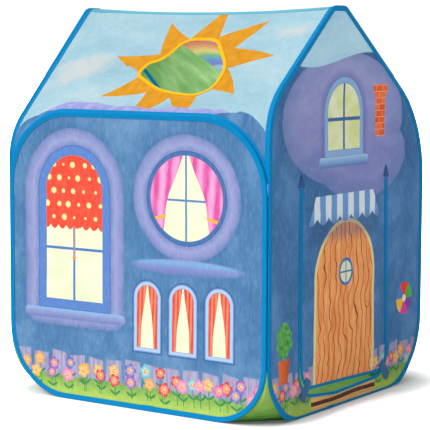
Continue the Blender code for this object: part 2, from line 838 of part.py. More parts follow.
def build_slit_patches():
    base = DOOR_TOP + PATCH_LIFT
    for end, edge in ((-1, DOOR_FRONT_TOP_Y), (1, DOOR_BACK_TOP_Y)):
        y = edge - end * FLAP_INSET / 2
        corners = [Vector((y - PATCH_WIDTH / 2, base)), Vector((y + PATCH_WIDTH / 2, base)),
                   Vector((y, base + PATCH_HEIGHT))]
        near = FABRIC / 2 + CLEARANCE
        plate("slit_patch_" + END_NAMES[end], corners, on_gable(1), near, near + PATCH_THICKNESS,
              patch_fabric())


def strap_profile():
    """Side view of a strap as (distance from its axis, height over its axis)."""
    top = STRAP_ROOT_RADIUS
    under = STRAP_ROOT_RADIUS - STRAP_THICKNESS
    leave = acos(under / STRAP_ROOT_RADIUS)
    reach = STRAP_LENGTH - STRAP_ROOT_RADIUS
    profile = [(reach, under), (reach, top), (0, top)]
    start = pi / 2
    finish_angle = 2 * pi + pi / 2 - leave
    for i in range(1, ROOT_SIDES + 1):
        angle = start + (finish_angle - start) * i / ROOT_SIDES
        profile.append((STRAP_ROOT_RADIUS * cos(angle), STRAP_ROOT_RADIUS * sin(angle)))
    return profile


def build_strap(name, centre, heading, door_hinge):
    """A strap that starts near a centre on the flap, and its two grip patches."""
    forward = Vector((0, heading.x, heading.y))
    out = Vector((1, 0, 0))
    across = out.cross(forward)
    root = STRAP_REACH - (STRAP_LENGTH - STRAP_ROOT_RADIUS)
    middle = Vector((0, centre.x, centre.y))

    def place_profile(point, width):
        along_strap = forward * (root + point.x)
        return middle + along_strap + out * (STRAP_AXIS_X + point.y) + across * width

    profile = [Vector(point) for point in strap_profile()]
    strap = plate("door_strap_" + name, profile, place_profile,
                  -STRAP_WIDTH / 2, STRAP_WIDTH / 2, strap_webbing())

    def grip(piece_name, base, thickness):
        def place_grip(point, lift):
            return middle + forward * point.x + across * point.y + out * (base + lift)
        end = GRIP_START + GRIP_LENGTH
        corners = [Vector((GRIP_START, -GRIP_WIDTH / 2)), Vector((end, -GRIP_WIDTH / 2)),
                   Vector((end, GRIP_WIDTH / 2)), Vector((GRIP_START, GRIP_WIDTH / 2))]
        return plate(piece_name, corners, place_grip, 0, thickness, grip_tape())

    hook = grip("hook_patch_" + name, HOOK_BASE, HOOK_THICKNESS)
    grip("loop_patch_" + name, LOOP_BASE, LOOP_THICKNESS)
    axis = middle + forward * root + out * STRAP_AXIS_X
    strap_hinge = hinge("strap_hinge_" + name, axis, door_hinge)
    attach(strap, strap_hinge, axis)
    attach(hook, strap_hinge, axis)


def build_straps(door_hinge):
    """Each strap runs out over one of the doorway's lower bends."""
    path = doorway_path(DOOR_TOP)
    last = len(path) - 2
    for end, index, angle, shift in (
            (-1, 1, STRAP_FRONT_ANGLE, STRAP_FRONT_SHIFT),
            (1, last, STRAP_BACK_ANGLE, STRAP_BACK_SHIFT)):
        point, normal = path[index]
        heading = Vector((end * cos(angle), -sin(angle)))
        start = point - normal * DOOR_CORNER_RADIUS + heading * shift
        build_strap(END_NAMES[end], start, heading, door_hinge)


def main():
    clear_scene()
    build_hoops()
    build_wall_panels()
    build_gable_panels()
    build_roof()
    build_window_trim()
    build_ridge_tape()
    build_floor()
    build_gussets()
    build_joining_tapes()
    door_hinge = build_door()
    build_slit_patches()
    build_straps(door_hinge)


main()
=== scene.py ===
"""Looks of a children's pop-up play house tent.

Four sprung hoops in bright blue bindings hold printed polyester walls, a
pitched roof with a bound window, a green floor, and a door flap that two
webbing straps keep shut. Metres, +Z up; the front wall faces -Y and the gable
with the door faces +X.
"""

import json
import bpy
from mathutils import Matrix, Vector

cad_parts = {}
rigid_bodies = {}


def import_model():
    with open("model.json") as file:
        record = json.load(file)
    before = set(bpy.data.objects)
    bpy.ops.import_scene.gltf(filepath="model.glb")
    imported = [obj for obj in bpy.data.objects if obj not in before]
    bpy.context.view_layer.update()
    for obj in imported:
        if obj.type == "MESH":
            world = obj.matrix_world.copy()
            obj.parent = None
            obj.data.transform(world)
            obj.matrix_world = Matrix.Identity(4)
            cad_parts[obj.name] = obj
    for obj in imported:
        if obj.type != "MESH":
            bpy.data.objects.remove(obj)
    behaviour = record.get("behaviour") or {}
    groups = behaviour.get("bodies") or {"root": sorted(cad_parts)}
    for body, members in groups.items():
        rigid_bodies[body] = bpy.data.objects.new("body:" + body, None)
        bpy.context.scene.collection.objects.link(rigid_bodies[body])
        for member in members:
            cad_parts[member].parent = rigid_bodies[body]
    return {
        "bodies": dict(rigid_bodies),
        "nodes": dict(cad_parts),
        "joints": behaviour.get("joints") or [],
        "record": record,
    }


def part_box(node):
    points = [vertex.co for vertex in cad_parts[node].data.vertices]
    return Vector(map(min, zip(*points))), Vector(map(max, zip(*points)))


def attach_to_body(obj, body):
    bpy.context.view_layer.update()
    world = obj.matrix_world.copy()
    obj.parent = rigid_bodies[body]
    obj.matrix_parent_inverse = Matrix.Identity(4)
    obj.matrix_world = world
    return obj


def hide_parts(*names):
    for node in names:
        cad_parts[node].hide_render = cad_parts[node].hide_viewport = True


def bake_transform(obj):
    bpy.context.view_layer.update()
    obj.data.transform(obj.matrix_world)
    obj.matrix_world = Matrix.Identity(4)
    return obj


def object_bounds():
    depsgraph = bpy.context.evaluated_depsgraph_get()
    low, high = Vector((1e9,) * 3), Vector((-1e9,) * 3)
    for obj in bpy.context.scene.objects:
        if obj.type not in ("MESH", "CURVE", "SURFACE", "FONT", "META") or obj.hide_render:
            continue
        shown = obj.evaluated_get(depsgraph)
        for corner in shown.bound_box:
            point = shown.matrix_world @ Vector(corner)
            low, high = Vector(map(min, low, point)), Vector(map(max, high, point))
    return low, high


bl_info = {
    "name": "Play House Tent",
    "version": (1, 0, 0),
    "blender": (4, 5, 0),
    "location": "View3D > Sidebar > Play Tent",
    "description": "Dresses the solids of a pop-up play house tent in cloth, bindings and thread",
    "category": "Object",
}

from functools import partial
from math import atan2, cos, pi, radians, sin, sqrt, tan

import bmesh
import bpy
import numpy as np
from mathutils import Matrix, Vector, noise
from mathutils.geometry import delaunay_2d_cdt

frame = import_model()
CAD_BOX = [list(corner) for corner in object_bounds()]

# Where the solids stand
WIDTH = CAD_BOX[1][0] - CAD_BOX[0][0]
DEPTH = CAD_BOX[1][1] - CAD_BOX[0][1]
HEIGHT = CAD_BOX[1][2] - CAD_BOX[0][2]
BEAD_RADIUS = 0.0035
HOOP_STEP = 0.0051619
SEWN_OFFSET = 0.0044
WALL_PLANE = DEPTH / 2 - BEAD_RADIUS
GABLE_PLANE = WIDTH / 2 - BEAD_RADIUS
WALL_HALF = GABLE_PLANE - HOOP_STEP
GABLE_HALF = WALL_PLANE - HOOP_STEP
HOOP_BASE = BEAD_RADIUS
GABLE_TOP = HEIGHT - BEAD_RADIUS
ROOF_END = GABLE_PLANE - SEWN_OFFSET
FLOOR_RADII = {(-1, -1): 0.180, (-1, 1): 0.145, (1, -1): 0.180, (1, 1): 0.180}
WALL_TOP_RADIUS = 0.190
WALL_TOPS = {-1: 0.750 - BEAD_RADIUS, 1: 0.720 - BEAD_RADIUS}
EAVES = {(-1, -1): (0.685, 0.160), (-1, 1): (0.700, 0.300),
         (1, -1): (0.775, 0.160), (1, 1): (0.716, 0.300)}
PEAKS = {-1: -0.032, 1: -0.066}
PEAK_WIDTH = 0.060
PEAK_RADIUS = 0.030
RIDGE_SAG = 0.012
RIDGE_SETBACK = 0.0010

# Window in the front slope: corner places as shares of its width and height, and
# the share of the shorter side beside each corner that its rounding takes
WINDOW_X = 0.055
WINDOW_RISE = 0.190
WINDOW_WIDTH = 0.260
WINDOW_HEIGHT = 0.226
WINDOW_CORNER_SHARES = (
    (-0.500, -0.150, 0.39), (-0.077, -0.434, 0.37), (0.508, -0.522, 0.52), (0.492, -0.022, 0.37),
    (0.135, 0.500, 0.31), (-0.230, 0.500, 0.30), (-0.330, 0.110, 0.70), (-0.470, 0.050, 0.27),
)

# Doorway and flap in the right gable, as (y, z)
DOOR_TOP = 0.575
DOOR_FRONT_TOP = (-0.243, DOOR_TOP)
DOOR_BACK_TOP = (0.184, DOOR_TOP)
DOORWAY_FOOT = ((-0.245, 0.057), (-0.070, 0.039), (0.200, 0.047))
DOORWAY_FOOT_RADII = (0.068, 0.300, 0.062)
FLAP_GAP = 0.0028
FLAP_FOOT = ((-0.2355, 0.068), (-0.020, 0.0615), (0.1972, 0.0535))
FLAP_FOOT_RADII = (0.058, 0.400, 0.050)
FLAP_KNEE = 0.250
FLAP_KNEE_RADIUS = 0.9
TRIM_TOP_GAP = 0.004

# Floor corners and gussets
GUSSET_TUCK = 0.0016
GUSSET_FIRST_ANGLE = 0.10
GUSSET_BULGE = 0.008

# Bindings along the floor, sewn tapes and straps
HEM_LEG = 0.0105
HEM_FULL = 0.014
HEM_REACH = 0.050
HEM_DROP = 0.0074
ROOF_TAPES = (("foot", "foot", 0.0070), (-1, "left", 0.0105), (1, "right", 0.0085))
ROOF_TAPE_LIFT = 0.0008
JOINING_OVERLAP = 0.008
JOINING_HALF = 0.0039
STRAP_OVERLAP = 0.0012
STRAP_LENGTH = 0.0584
STRAP_HALF = 0.0134
PAD_HALF_LENGTH = 0.0058
PAD_HALF_WIDTH = 0.0118

# Print maps hold places in metres, moved and scaled to lie within 0 to 1
MAP_SPAN = 1.2
MAP_SHIFT = 0.5
MAP_RISE = 0.1

END_NAMES = {-1: "front", 1: "back"}
SIDE_NAMES = {-1: "left", 1: "right"}


# Outlines

def rounded(corners, radii, closed=True, steps=14, inset=0.0):
    """Points of an anticlockwise outline with round corners, moved inwards."""
    points = [Vector(corner) for corner in corners]
    count = len(points)
    outline = []
    for i, corner in enumerate(points):
        if not closed and i in (0, count - 1):
            first, second = (0, 1) if i == 0 else (count - 2, count - 1)
            run = (points[second] - points[first]).normalized()
            outline.append(corner - Vector((run.y, -run.x)) * inset)
            continue
        run_in = (corner - points[i - 1]).normalized()
        run_out = (points[(i + 1) % count] - corner).normalized()
        turn = atan2(run_in.cross(run_out), run_in.dot(run_out))
        reach = radii[i] * tan(abs(turn) / 2)
        side = 1 if turn > 0 else -1
        normal = Vector((run_in.y, -run_in.x))
        centre = corner - run_in * reach - normal * radii[i] * side
        for step in range(steps + 1):
            spun = Matrix.Rotation(turn * step / steps, 2) @ normal
            outline.append(centre + spun * (radii[i] * side - inset))
    return np.array([tuple(point) for point in outline])


def evenly(points, spacing, closed):
    """The same path with points at an even spacing."""
    path = np.vstack((points, points[:1])) if closed else np.asarray(points)
    steps = np.linalg.norm(np.diff(path, axis=0), axis=1)
    lengths = np.concatenate(([0.0], np.cumsum(steps)))
    count = max(2, int(round(lengths[-1] / spacing)))
    stations = np.linspace(0, lengths[-1], count + 1)
    if closed:
        stations = stations[:-1]
    return np.column_stack([np.interp(stations, lengths, path[:, i])
                            for i in range(path.shape[1])])


def wall_outline(end, inset=0.0):
    top = WALL_TOPS[end]
    corners = ((-WALL_HALF, HOOP_BASE), (WALL_HALF, HOOP_BASE), (WALL_HALF, top), (-WALL_HALF, top))
    radii = (FLOOR_RADII[end, -1], FLOOR_RADII[end, 1], WALL_TOP_RADIUS, WALL_TOP_RADIUS)
    return rounded(corners, radii, inset=inset)


def gable_outline(side, inset=0.0):
    front_eave, front_radius = EAVES[side, -1]
    back_eave, back_radius = EAVES[side, 1]
    corners = ((-GABLE_HALF, HOOP_BASE), (GABLE_HALF, HOOP_BASE), (GABLE_HALF, back_eave),
               (PEAKS[side] + PEAK_WIDTH / 2, GABLE_TOP), (PEAKS[side] - PEAK_WIDTH / 2, GABLE_TOP),
               (-GABLE_HALF, front_eave))
    radii = (FLOOR_RADII[-1, side], FLOOR_RADII[1, side], back_radius, PEAK_RADIUS, PEAK_RADIUS,
             front_radius)
    return rounded(corners, radii, inset=inset)


def side_point(top, foot, z):
    share = (top[1] - z) / (top[1] - foot[1])
    return (top[0] + (foot[0] - top[0]) * share, z)


def doorway_path(top, inset=0.0):
    """Edge of the doorway down its front, along the sill and up its back."""
    corners = (side_point(DOOR_FRONT_TOP, DOORWAY_FOOT[0], top), *DOORWAY_FOOT,
               side_point(DOOR_BACK_TOP, DOORWAY_FOOT[2], top))
    return rounded(corners, (0, *DOORWAY_FOOT_RADII, 0), closed=False, inset=inset)


def flap_path(top, inset=0.0):
    """Edge of the flap down its front, along the hem and up its back."""
    front_top = (DOOR_FRONT_TOP[0] + FLAP_GAP, DOOR_TOP)
    back_top = (DOOR_BACK_TOP[0] - FLAP_GAP, DOOR_TOP)
    knee = (side_point(DOOR_FRONT_TOP, DOORWAY_FOOT[0], FLAP_KNEE)[0] + FLAP_GAP, FLAP_KNEE)
    corners = (side_point(front_top, knee, top), knee, *FLAP_FOOT,
               side_point(back_top, FLAP_FOOT[2], top))
    return rounded(corners, (0, FLAP_KNEE_RADIUS, *FLAP_FOOT_RADII, 0), closed=False, inset=inset)


def window_outline(inset=0.0):
    """The window's edge in the front slope's flat map."""
    corners = np.array([(WINDOW_WIDTH * x, WINDOW_HEIGHT * y) for x, y, share in WINDOW_CORNER_SHARES])
    radii = []
    for i, corner in enumerate(corners):
        side_in = Vector(corner - corners[i - 1])
        side_out = Vector(corners[(i + 1) % len(corners)] - corner)
        turn = atan2(side_in.cross(side_out), side_in.dot(side_out))
        reach = WINDOW_CORNER_SHARES[i][2] * min(side_in.length, side_out.length)
        radii.append(reach / tan(abs(turn) / 2))
    return FRONT_SLOPE.flat_from_window(rounded(corners, radii, steps=8, inset=inset))


# The roof's two slopes

def foot_height(end, x):
    """Height of the roof's lower edge over the wall hoop."""
    beyond = max(0, abs(x) - (WALL_HALF - WALL_TOP_RADIUS))
    return WALL_TOPS[end] - WALL_TOP_RADIUS + sqrt((WALL_TOP_RADIUS + SEWN_OFFSET) ** 2 - beyond ** 2)


def ridge_point(x):
    share = (x + ROOF_END) / (2 * ROOF_END)
    sag = RIDGE_SAG * (1 - (x / ROOF_END) ** 2)
    return Vector((PEAKS[-1] + (PEAKS[1] - PEAKS[-1]) * share, GABLE_TOP - sag))


def eased(before, corner, after, reach_in, reach_out, steps=16):
    """Points of a curve that rounds off a corner between two reaches."""
    start = corner + (before - corner).normalized() * reach_in
    finish = corner + (after - corner).normalized() * reach_out
    return [start.lerp(corner, i / steps).lerp(corner.lerp(finish, i / steps), i / steps)
            for i in range(steps + 1)]


def slope_profile(end, x):
    """One slope's middle line at x, as (y, z) from the ridge to the wall hoop."""
    top = ridge_point(x)
    foot_z = foot_height(end, x)
    start = WALL_HALF - WALL_TOP_RADIUS
    nearness = max(0, (abs(x) - start) / (ROOF_END - start))
    edge = end * (WALL_PLANE + (GABLE_HALF - WALL_PLANE) * nearness)
    foot = Vector((edge, foot_z))
    if nearness == 0:
        return [top, foot]
    gable_eave, gable_radius = EAVES[1 if x > 0 else -1, end]
    eave_z = foot_height(end, 0) + (gable_eave - foot_height(end, 0)) * nearness
    eave = Vector((edge, max(eave_z, foot_z + 0.0003)))
    peak = Vector((top.x + end * nearness ** 2 * PEAK_WIDTH / 2, top.y))
    angle = atan2(peak.y - eave.y, abs(eave.x - peak.x))
    peak_reach = PEAK_RADIUS * tan(angle / 2) * nearness ** 2
    eave_reach = gable_radius * tan((pi / 2 - angle) / 2)
    return ([top] + eased(top, peak, eave, peak_reach, peak_reach)
            + eased(peak, eave, foot, eave_reach, min(eave_reach, eave.y - foot.y)) + [foot])


class Slope:
    """Middle surface of one roof slope, as a table over x and the share from ridge to foot.

    Its flat map has x across and the length of the middle profile upwards,
    from the foot at 0 to the ridge.
    """

    def __init__(self, end, columns=161, rows=161):
        self.end = end
        bend = np.sin(np.linspace(-pi / 2, pi / 2, columns))
        self.xs = bend * ROOF_END
        shares = np.linspace(0, 1, rows)
        self.table = np.zeros((columns, rows, 2))
        self.lengths = np.zeros(columns)
        for i, x in enumerate(self.xs):
            profile = np.array([tuple(point) for point in slope_profile(end, x)])
            steps = np.linalg.norm(np.diff(profile, axis=0), axis=1)
            run = np.concatenate(([0.0], np.cumsum(steps)))
            self.lengths[i] = run[-1]
            for axis in (0, 1):
                self.table[i, :, axis] = np.interp(shares * run[-1], run, profile[:, axis])
        self.span = float(np.interp(WINDOW_X, self.xs, self.lengths))

    def flat_from_window(self, points):
        return np.column_stack((WINDOW_X + points[:, 0], WINDOW_RISE + points[:, 1]))

    def middle(self, u, v):
        """Points of the middle surface at flat places."""
        share = np.clip(1 - v / self.span, 0, 1) * (self.table.shape[1] - 1)
        column = np.interp(u, self.xs, np.arange(len(self.xs)))
        i = np.minimum(column.astype(int), len(self.xs) - 2)
        j = np.minimum(share.astype(int), self.table.shape[1] - 2)
        a = (column - i)[:, None]
        b = (share - j)[:, None]
        near = self.table[i, j] * (1 - b) + self.table[i, j + 1] * b
        far = self.table[i + 1, j] * (1 - b) + self.table[i + 1, j + 1] * b
        yz = near * (1 - a) + far * a
        return np.column_stack((np.clip(u, -ROOF_END, ROOF_END), yz))

    def normal(self, u, v, step=0.004):
        """Outward normals of the middle surface at flat places."""
        low_u = np.clip(u - step, -ROOF_END, ROOF_END)
        high_u = np.clip(u + step, -ROOF_END, ROOF_END)
        low_v = np.clip(v - step, 0, self.span)
        high_v = np.clip(v + step, 0, self.span)
        across = self.middle(high_u, v) - self.middle(low_u, v)
        up = self.middle(u, high_v) - self.middle(u, low_v)
        normal = np.cross(across, up) * -self.end
        return normal / np.linalg.norm(normal, axis=1)[:, None]

    def place(self, points):
        u, v, lift = points[:, 0], points[:, 1], points[:, 2]
        return self.middle(u, v) + self.normal(u, v) * lift[:, None]

    def edge(self):
        """The slope's own outline in its flat map."""
        top = self.span - RIDGE_SETBACK
        return np.array(((-ROOF_END, 0), (ROOF_END, 0), (ROOF_END, top), (-ROOF_END, top)))


FRONT_SLOPE = Slope(-1)
BACK_SLOPE = Slope(1)
SLOPES = {-1: FRONT_SLOPE, 1: BACK_SLOPE}


# Places: (across, up, lift off the cloth) to metres in the tent's frame

def on_wall(end):
    return lambda p: np.column_stack((p[:, 0], end * (WALL_PLANE + p[:, 2]), p[:, 1]))


def on_gable(side):
    return lambda p: np.column_stack((side * (GABLE_PLANE + p[:, 2]), p[:, 0], p[:, 1]))


def on_floor(p):
    return np.column_stack((p[:, 0], p[:, 1], 0.0004 + p[:, 2]))


# Cloth

def distance_to(points, loops):
    """Distance from each point to the nearest point of the loops."""
    edge = np.vstack(loops)
    nearest = np.full(len(points), np.inf)
    for chunk in np.array_split(edge, max(1, len(edge) // 64)):
        gap = points[:, None, :] - chunk[None, :, :]
        nearest = np.minimum(nearest, np.sqrt((gap ** 2).sum(2)).min(1))
    return nearest


def within(points, loop):
    """Which points lie inside a closed outline."""
    x, y = points[:, 0], points[:, 1]
    found = np.zeros(len(points), bool)
    ahead = np.roll(loop, -1, axis=0)
    for (x0, y0), (x1, y1) in zip(loop, ahead):
        if y0 == y1:
            continue
        crosses = (y0 > y) != (y1 > y)
        found ^= crosses & (x < (x1 - x0) * (y - y0) / (y1 - y0) + x0)
    return found


def filled(loops, spacing):
    """Points and triangles that fill an outline around its holes."""
    loops = [evenly(loop, spacing * 0.8, True) for loop in loops]
    low = loops[0].min(0)
    high = loops[0].max(0)
    row_step = spacing * sqrt(3) / 2
    lattice = []
    for row, y in enumerate(np.arange(low[1], high[1], row_step)):
        xs = np.arange(low[0] + (row % 2) * spacing / 2, high[0], spacing)
        lattice.append(np.column_stack((xs, np.full(len(xs), y))))
    lattice = np.vstack(lattice)
    keep = within(lattice, loops[0])
    for hole in loops[1:]:
        keep &= ~within(lattice, hole)
    lattice = lattice[keep]
    lattice = lattice[distance_to(lattice, loops) > spacing * 0.55]
    points = np.vstack(loops + [lattice])
    edges = []
    first = 0
    for loop in loops:
        count = len(loop)
        edges += [(first + i, first + (i + 1) % count) for i in range(count)]
        first += count
    found = delaunay_2d_cdt([Vector(p) for p in points], edges, [], 0, 1e-7)
    points = np.array([tuple(p) for p in found[0]])
    triangles = np.array([face for face in found[2] if len(face) == 3])
    middles = points[triangles].mean(1)
    keep = within(middles, loops[0])
    for hole in loops[1:]:
        keep &= ~within(middles, hole)
    return points, triangles[keep], distance_to(points, loops)


def wave(points, size, seed):
    """Smooth noise in -1 to 1 over flat places; size is one number or one for each axis."""
    scaled = points / np.asarray(size)
    return np.array([noise.noise(Vector((x, y, seed * 7.31))) for x, y in scaled])


def pulls(points, anchors, reach, count, seed):
    """Creases that fan out from anchors, strongest close to them."""
    total = np.zeros(len(points))
    for i, anchor in enumerate(anchors):
        offset = points - np.asarray(anchor)
        distance = np.hypot(offset[:, 0], offset[:, 1])
        angle = np.arctan2(offset[:, 1], offset[:, 0])
        drift = wave(points, reach * 0.6, seed + i) * 1.5
        total += np.sin(angle * count + drift + i * 1.7) * np.exp(-distance / reach)
    return total


def face_mesh(name, points, faces):
    mesh = bpy.data.meshes.new(name)
    mesh.from_pydata([tuple(p) for p in points], [], [tuple(int(i) for i in f) for f in faces])
    return mesh


def shown(name, mesh, look):
    """A smooth shaded object in the scene with one material."""
    mesh.materials.clear()
    mesh.materials.append(look)
    mesh.shade_smooth()
    mesh.set_sharp_from_angle(angle=radians(50))
    piece = bpy.data.objects.new(name, mesh)
    bpy.context.scene.collection.objects.link(piece)
    return piece


def two_sided(name, flat, points, triangles, thickness, look):
    """A closed sheet about its middle points, with a map of its flat places."""
    corners = points[triangles]
    face_normals = np.cross(corners[:, 1] - corners[:, 0], corners[:, 2] - corners[:, 0])
    normals = np.zeros_like(points)
    for i in range(3):
        np.add.at(normals, triangles[:, i], face_normals)
    normals /= np.linalg.norm(normals, axis=1)[:, None]
    count = len(points)
    sides = np.vstack((points + normals * thickness / 2, points - normals * thickness / 2))
    directed = np.vstack([triangles[:, (i, (i + 1) % 3)] for i in range(3)])
    seen = {(int(a), int(b)) for a, b in directed}
    rim = [(b, a, a + count, b + count) for a, b in seen if (b, a) not in seen]
    faces = [tuple(t) for t in triangles] + [tuple(t[::-1] + count) for t in triangles] + rim
    mesh = face_mesh(name, sides, faces)
    places = np.vstack((flat, flat))
    loop_vertices = np.zeros(len(mesh.loops), int)
    mesh.loops.foreach_get("vertex_index", loop_vertices)
    uv = mesh.uv_layers.new(name="print")
    mapped = places[loop_vertices] / MAP_SPAN + np.array((MAP_SHIFT, MAP_RISE))
    uv.data.foreach_set("uv", mapped.astype(np.float32).ravel())
    return shown(name, mesh, look)


def sheet(name, loops, place, mirrored, relief, look, spacing=None):
    """A panel of cloth in the tent, cut to an outline in its flat map."""
    cloth = bpy.context.scene.tent_cloth
    flat, triangles, edge = filled(loops, spacing or cloth.spacing)
    lift = relief(flat, edge)
    points = place(np.column_stack((flat, lift)))
    if mirrored:
        triangles = triangles[:, ::-1]
    return two_sided(name, flat, points, triangles, cloth.thickness, look)


def strip(name, rows, flat_rows, look, thickness=None):
    """A sheet through a grid of points."""
    rows = np.asarray(rows, float)
    flat_rows = np.asarray(flat_rows, float)
    down, across = rows.shape[:2]
    index = np.arange(down * across).reshape(down, across)
    a, b = index[:-1, :-1].ravel(), index[:-1, 1:].ravel()
    c, d = index[1:, 1:].ravel(), index[1:, :-1].ravel()
    triangles = np.vstack((np.column_stack((a, b, c)), np.column_stack((a, c, d))))
    thick = thickness or bpy.context.scene.tent_cloth.thickness
    return two_sided(name, flat_rows.reshape(-1, 2), rows.reshape(-1, 3), triangles, thick, look)


# Node trees that grow tapes and stitches along a path

def feed(tree, socket, value):
    """Link an input to a socket or a print's number, or set it."""
    value = getattr(value, "socket", value)
    if isinstance(value, bpy.types.NodeSocket):
        tree.links.new(value, socket)
    else:
        socket.default_value = value


def tree_with(name, numbers):
    """A geometry tree with its group sockets, and functions that add its nodes and sums."""
    tree = bpy.data.node_groups.new(name, "GeometryNodeTree")
    inputs = [("Path", "Geometry"), *((label, "Float") for label in numbers), ("Material", "Material")]
    for label, kind in inputs:
        tree.interface.new_socket(name=label, in_out="INPUT", socket_type="NodeSocket" + kind)
    tree.interface.new_socket(name="Result", in_out="OUTPUT", socket_type="NodeSocketGeometry")
    start = tree.nodes.new("NodeGroupInput")

    def add(kind, settings=None, **links):
        made = tree.nodes.new(kind)
        for key, value in (settings or {}).items():
            setattr(made, key, value)
        for key, value in links.items():
            feed(tree, made.inputs[key.replace("_", " ")], value)
        return made

    def reckon(operation, a, b):
        made = add("ShaderNodeMath", {"operation": operation})
        for socket, value in zip(made.inputs, (a, b)):
            feed(tree, socket, value)
        return made.outputs[0]

    return tree, start.outputs, add, reckon


def end_tree(tree, add, geometry, material):
    """Smooth, plain and painted result at the end of a tree."""
    smooth = add("GeometryNodeSetShadeSmooth", Geometry=geometry)
    plain = add("GeometryNodeRealizeInstances", Geometry=smooth.outputs[0])
    painted = add("GeometryNodeSetMaterial", Geometry=plain.outputs[0], Material=material)
    finish = tree.nodes.new("NodeGroupOutput")
    tree.links.new(painted.outputs[0], finish.inputs[0])
    return tree


def folded_tape_tree():
    """A rolled edge with two flat legs, one to each side of the cloth."""
    found = bpy.data.node_groups.get("folded_tape")
    if found:
        return found
    tree, given, add, reckon = tree_with("folded_tape", (
        "Edge Radius", "Leg Width", "Leg Side", "Tape Thickness", "Leg Lift", "Leg Slope", "Ripple",
        "Ripple Size", "Seed"))
    path = add("GeometryNodeMeshToCurve", Mesh=given["Path"])
    roll = add("GeometryNodeCurvePrimitiveCircle", Resolution=12, Radius=given["Edge Radius"])
    leg = add("GeometryNodeCurvePrimitiveQuadrilateral", Width=given["Leg Width"],
              Height=given["Tape Thickness"])
    shift = reckon("MULTIPLY", reckon("MULTIPLY", given["Leg Width"], 0.5), given["Leg Side"])
    profiles = [roll.outputs[0]]
    for side in (-1, 1):
        turn = add("ShaderNodeCombineXYZ", Z=reckon("MULTIPLY", given["Leg Slope"], side))
        move = add("ShaderNodeCombineXYZ", X=shift, Y=reckon("MULTIPLY", given["Leg Lift"], side))
        moved = add("GeometryNodeTransform", Geometry=leg.outputs[0], Translation=move.outputs[0],
                    Rotation=turn.outputs[0])
        profiles.append(moved.outputs[0])
    joined = add("GeometryNodeJoinGeometry")
    for profile in profiles:
        tree.links.new(profile, joined.inputs[0])
    swept = add("GeometryNodeCurveToMesh", Curve=path.outputs[0],
                Profile_Curve=joined.outputs[0], Fill_Caps=True)
    return end_tree(tree, add, ripple(add, reckon, swept.outputs[0], given), given["Material"])


def ripple(add, reckon, geometry, given):
    """Small waves off the cloth, as sewn tape has."""
    place = add("GeometryNodeInputPosition")
    pattern = add("ShaderNodeTexNoise", {"noise_dimensions": "4D"}, Vector=place.outputs[0],
                  W=given["Seed"], Scale=reckon("DIVIDE", 1, given["Ripple Size"]), Detail=1.0)
    centred = reckon("SUBTRACT", pattern.outputs[0], 0.5)
    offset = add("ShaderNodeCombineXYZ", Z=reckon("MULTIPLY", centred, given["Ripple"]))
    return add("GeometryNodeSetPosition", Geometry=geometry, Offset=offset.outputs[0]).outputs[0]


def stitch_tree():
    """Short raised threads in a row along a path."""
    found = bpy.data.node_groups.get("stitch_row")
    if found:
        return found
    tree, given, add, reckon = tree_with("stitch_row", ("Stitch Pitch", "Stitch Length",
                                                        "Thread Radius"))
    path = add("GeometryNodeMeshToCurve", Mesh=given["Path"])
    spaced = add("GeometryNodeResampleCurve", {"mode": "LENGTH"}, Curve=path.outputs[0],
                 Length=given["Stitch Pitch"])
    thread = add("GeometryNodeMeshUVSphere", Segments=6, Rings=4, Radius=1.0)
    size = add("ShaderNodeCombineXYZ", X=reckon("MULTIPLY", given["Stitch Length"], 0.5),
               Y=given["Thread Radius"], Z=given["Thread Radius"])
    tangent = add("GeometryNodeInputTangent")
    turn = add("FunctionNodeAlignEulerToVector", {"axis": "X"}, Vector=tangent.outputs[0])
    placed = add("GeometryNodeInstanceOnPoints", Points=spaced.outputs[0],
                 Instance=thread.outputs[0], Rotation=turn.outputs[0], Scale=size.outputs[0])
    return end_tree(tree, add, placed.outputs[0], given["Material"])


def grown(tree, paths, values):
    """Plain mesh that a tree grows from flat paths of (points, closed)."""
    points = []
    edges = []
    for path, closed in paths:
        first = len(points)
        count = len(path)
        points += [(x, y, 0) if len(p) == 2 else tuple(p) for p in path for x, y in (p[:2],)]
        edges += [(first + i, first + i + 1) for i in range(count - 1)]
        if closed:
            edges.append((first + count - 1, first))
    mesh = bpy.data.meshes.new("path")
    mesh.from_pydata(points, edges, [])
    holder = bpy.data.objects.new("path", mesh)
    bpy.context.scene.collection.objects.link(holder)
    modifier = holder.modifiers.new("grow", "NODES")
    modifier.node_group = tree
    sockets = {s.name: s.identifier for s in tree.interface.items_tree if s.in_out == "INPUT"}
    for label, value in values.items():
        modifier[sockets[label]] = value
    evaluated = holder.evaluated_get(bpy.context.evaluated_depsgraph_get())
    made = bpy.data.meshes.new_from_object(evaluated)
    holder.modifiers.remove(modifier)
    bpy.data.objects.remove(holder)
    return made


def settled(name, meshes, look):
    """One object from (mesh, place) pairs, each moved to its place, with its faces outwards."""
    bm = bmesh.new()
    for mesh, place in meshes:
        count = len(mesh.vertices)
        flat = np.zeros(count * 3)
        mesh.vertices.foreach_get("co", flat)
        mesh.vertices.foreach_set("co", place(flat.reshape(-1, 3)).ravel())
        bm.from_mesh(mesh)
    bmesh.ops.recalc_face_normals(bm, faces=bm.faces)
    made = bpy.data.meshes.new(name)
    bm.to_mesh(made)
    bm.free()
    return shown(name, made, look)


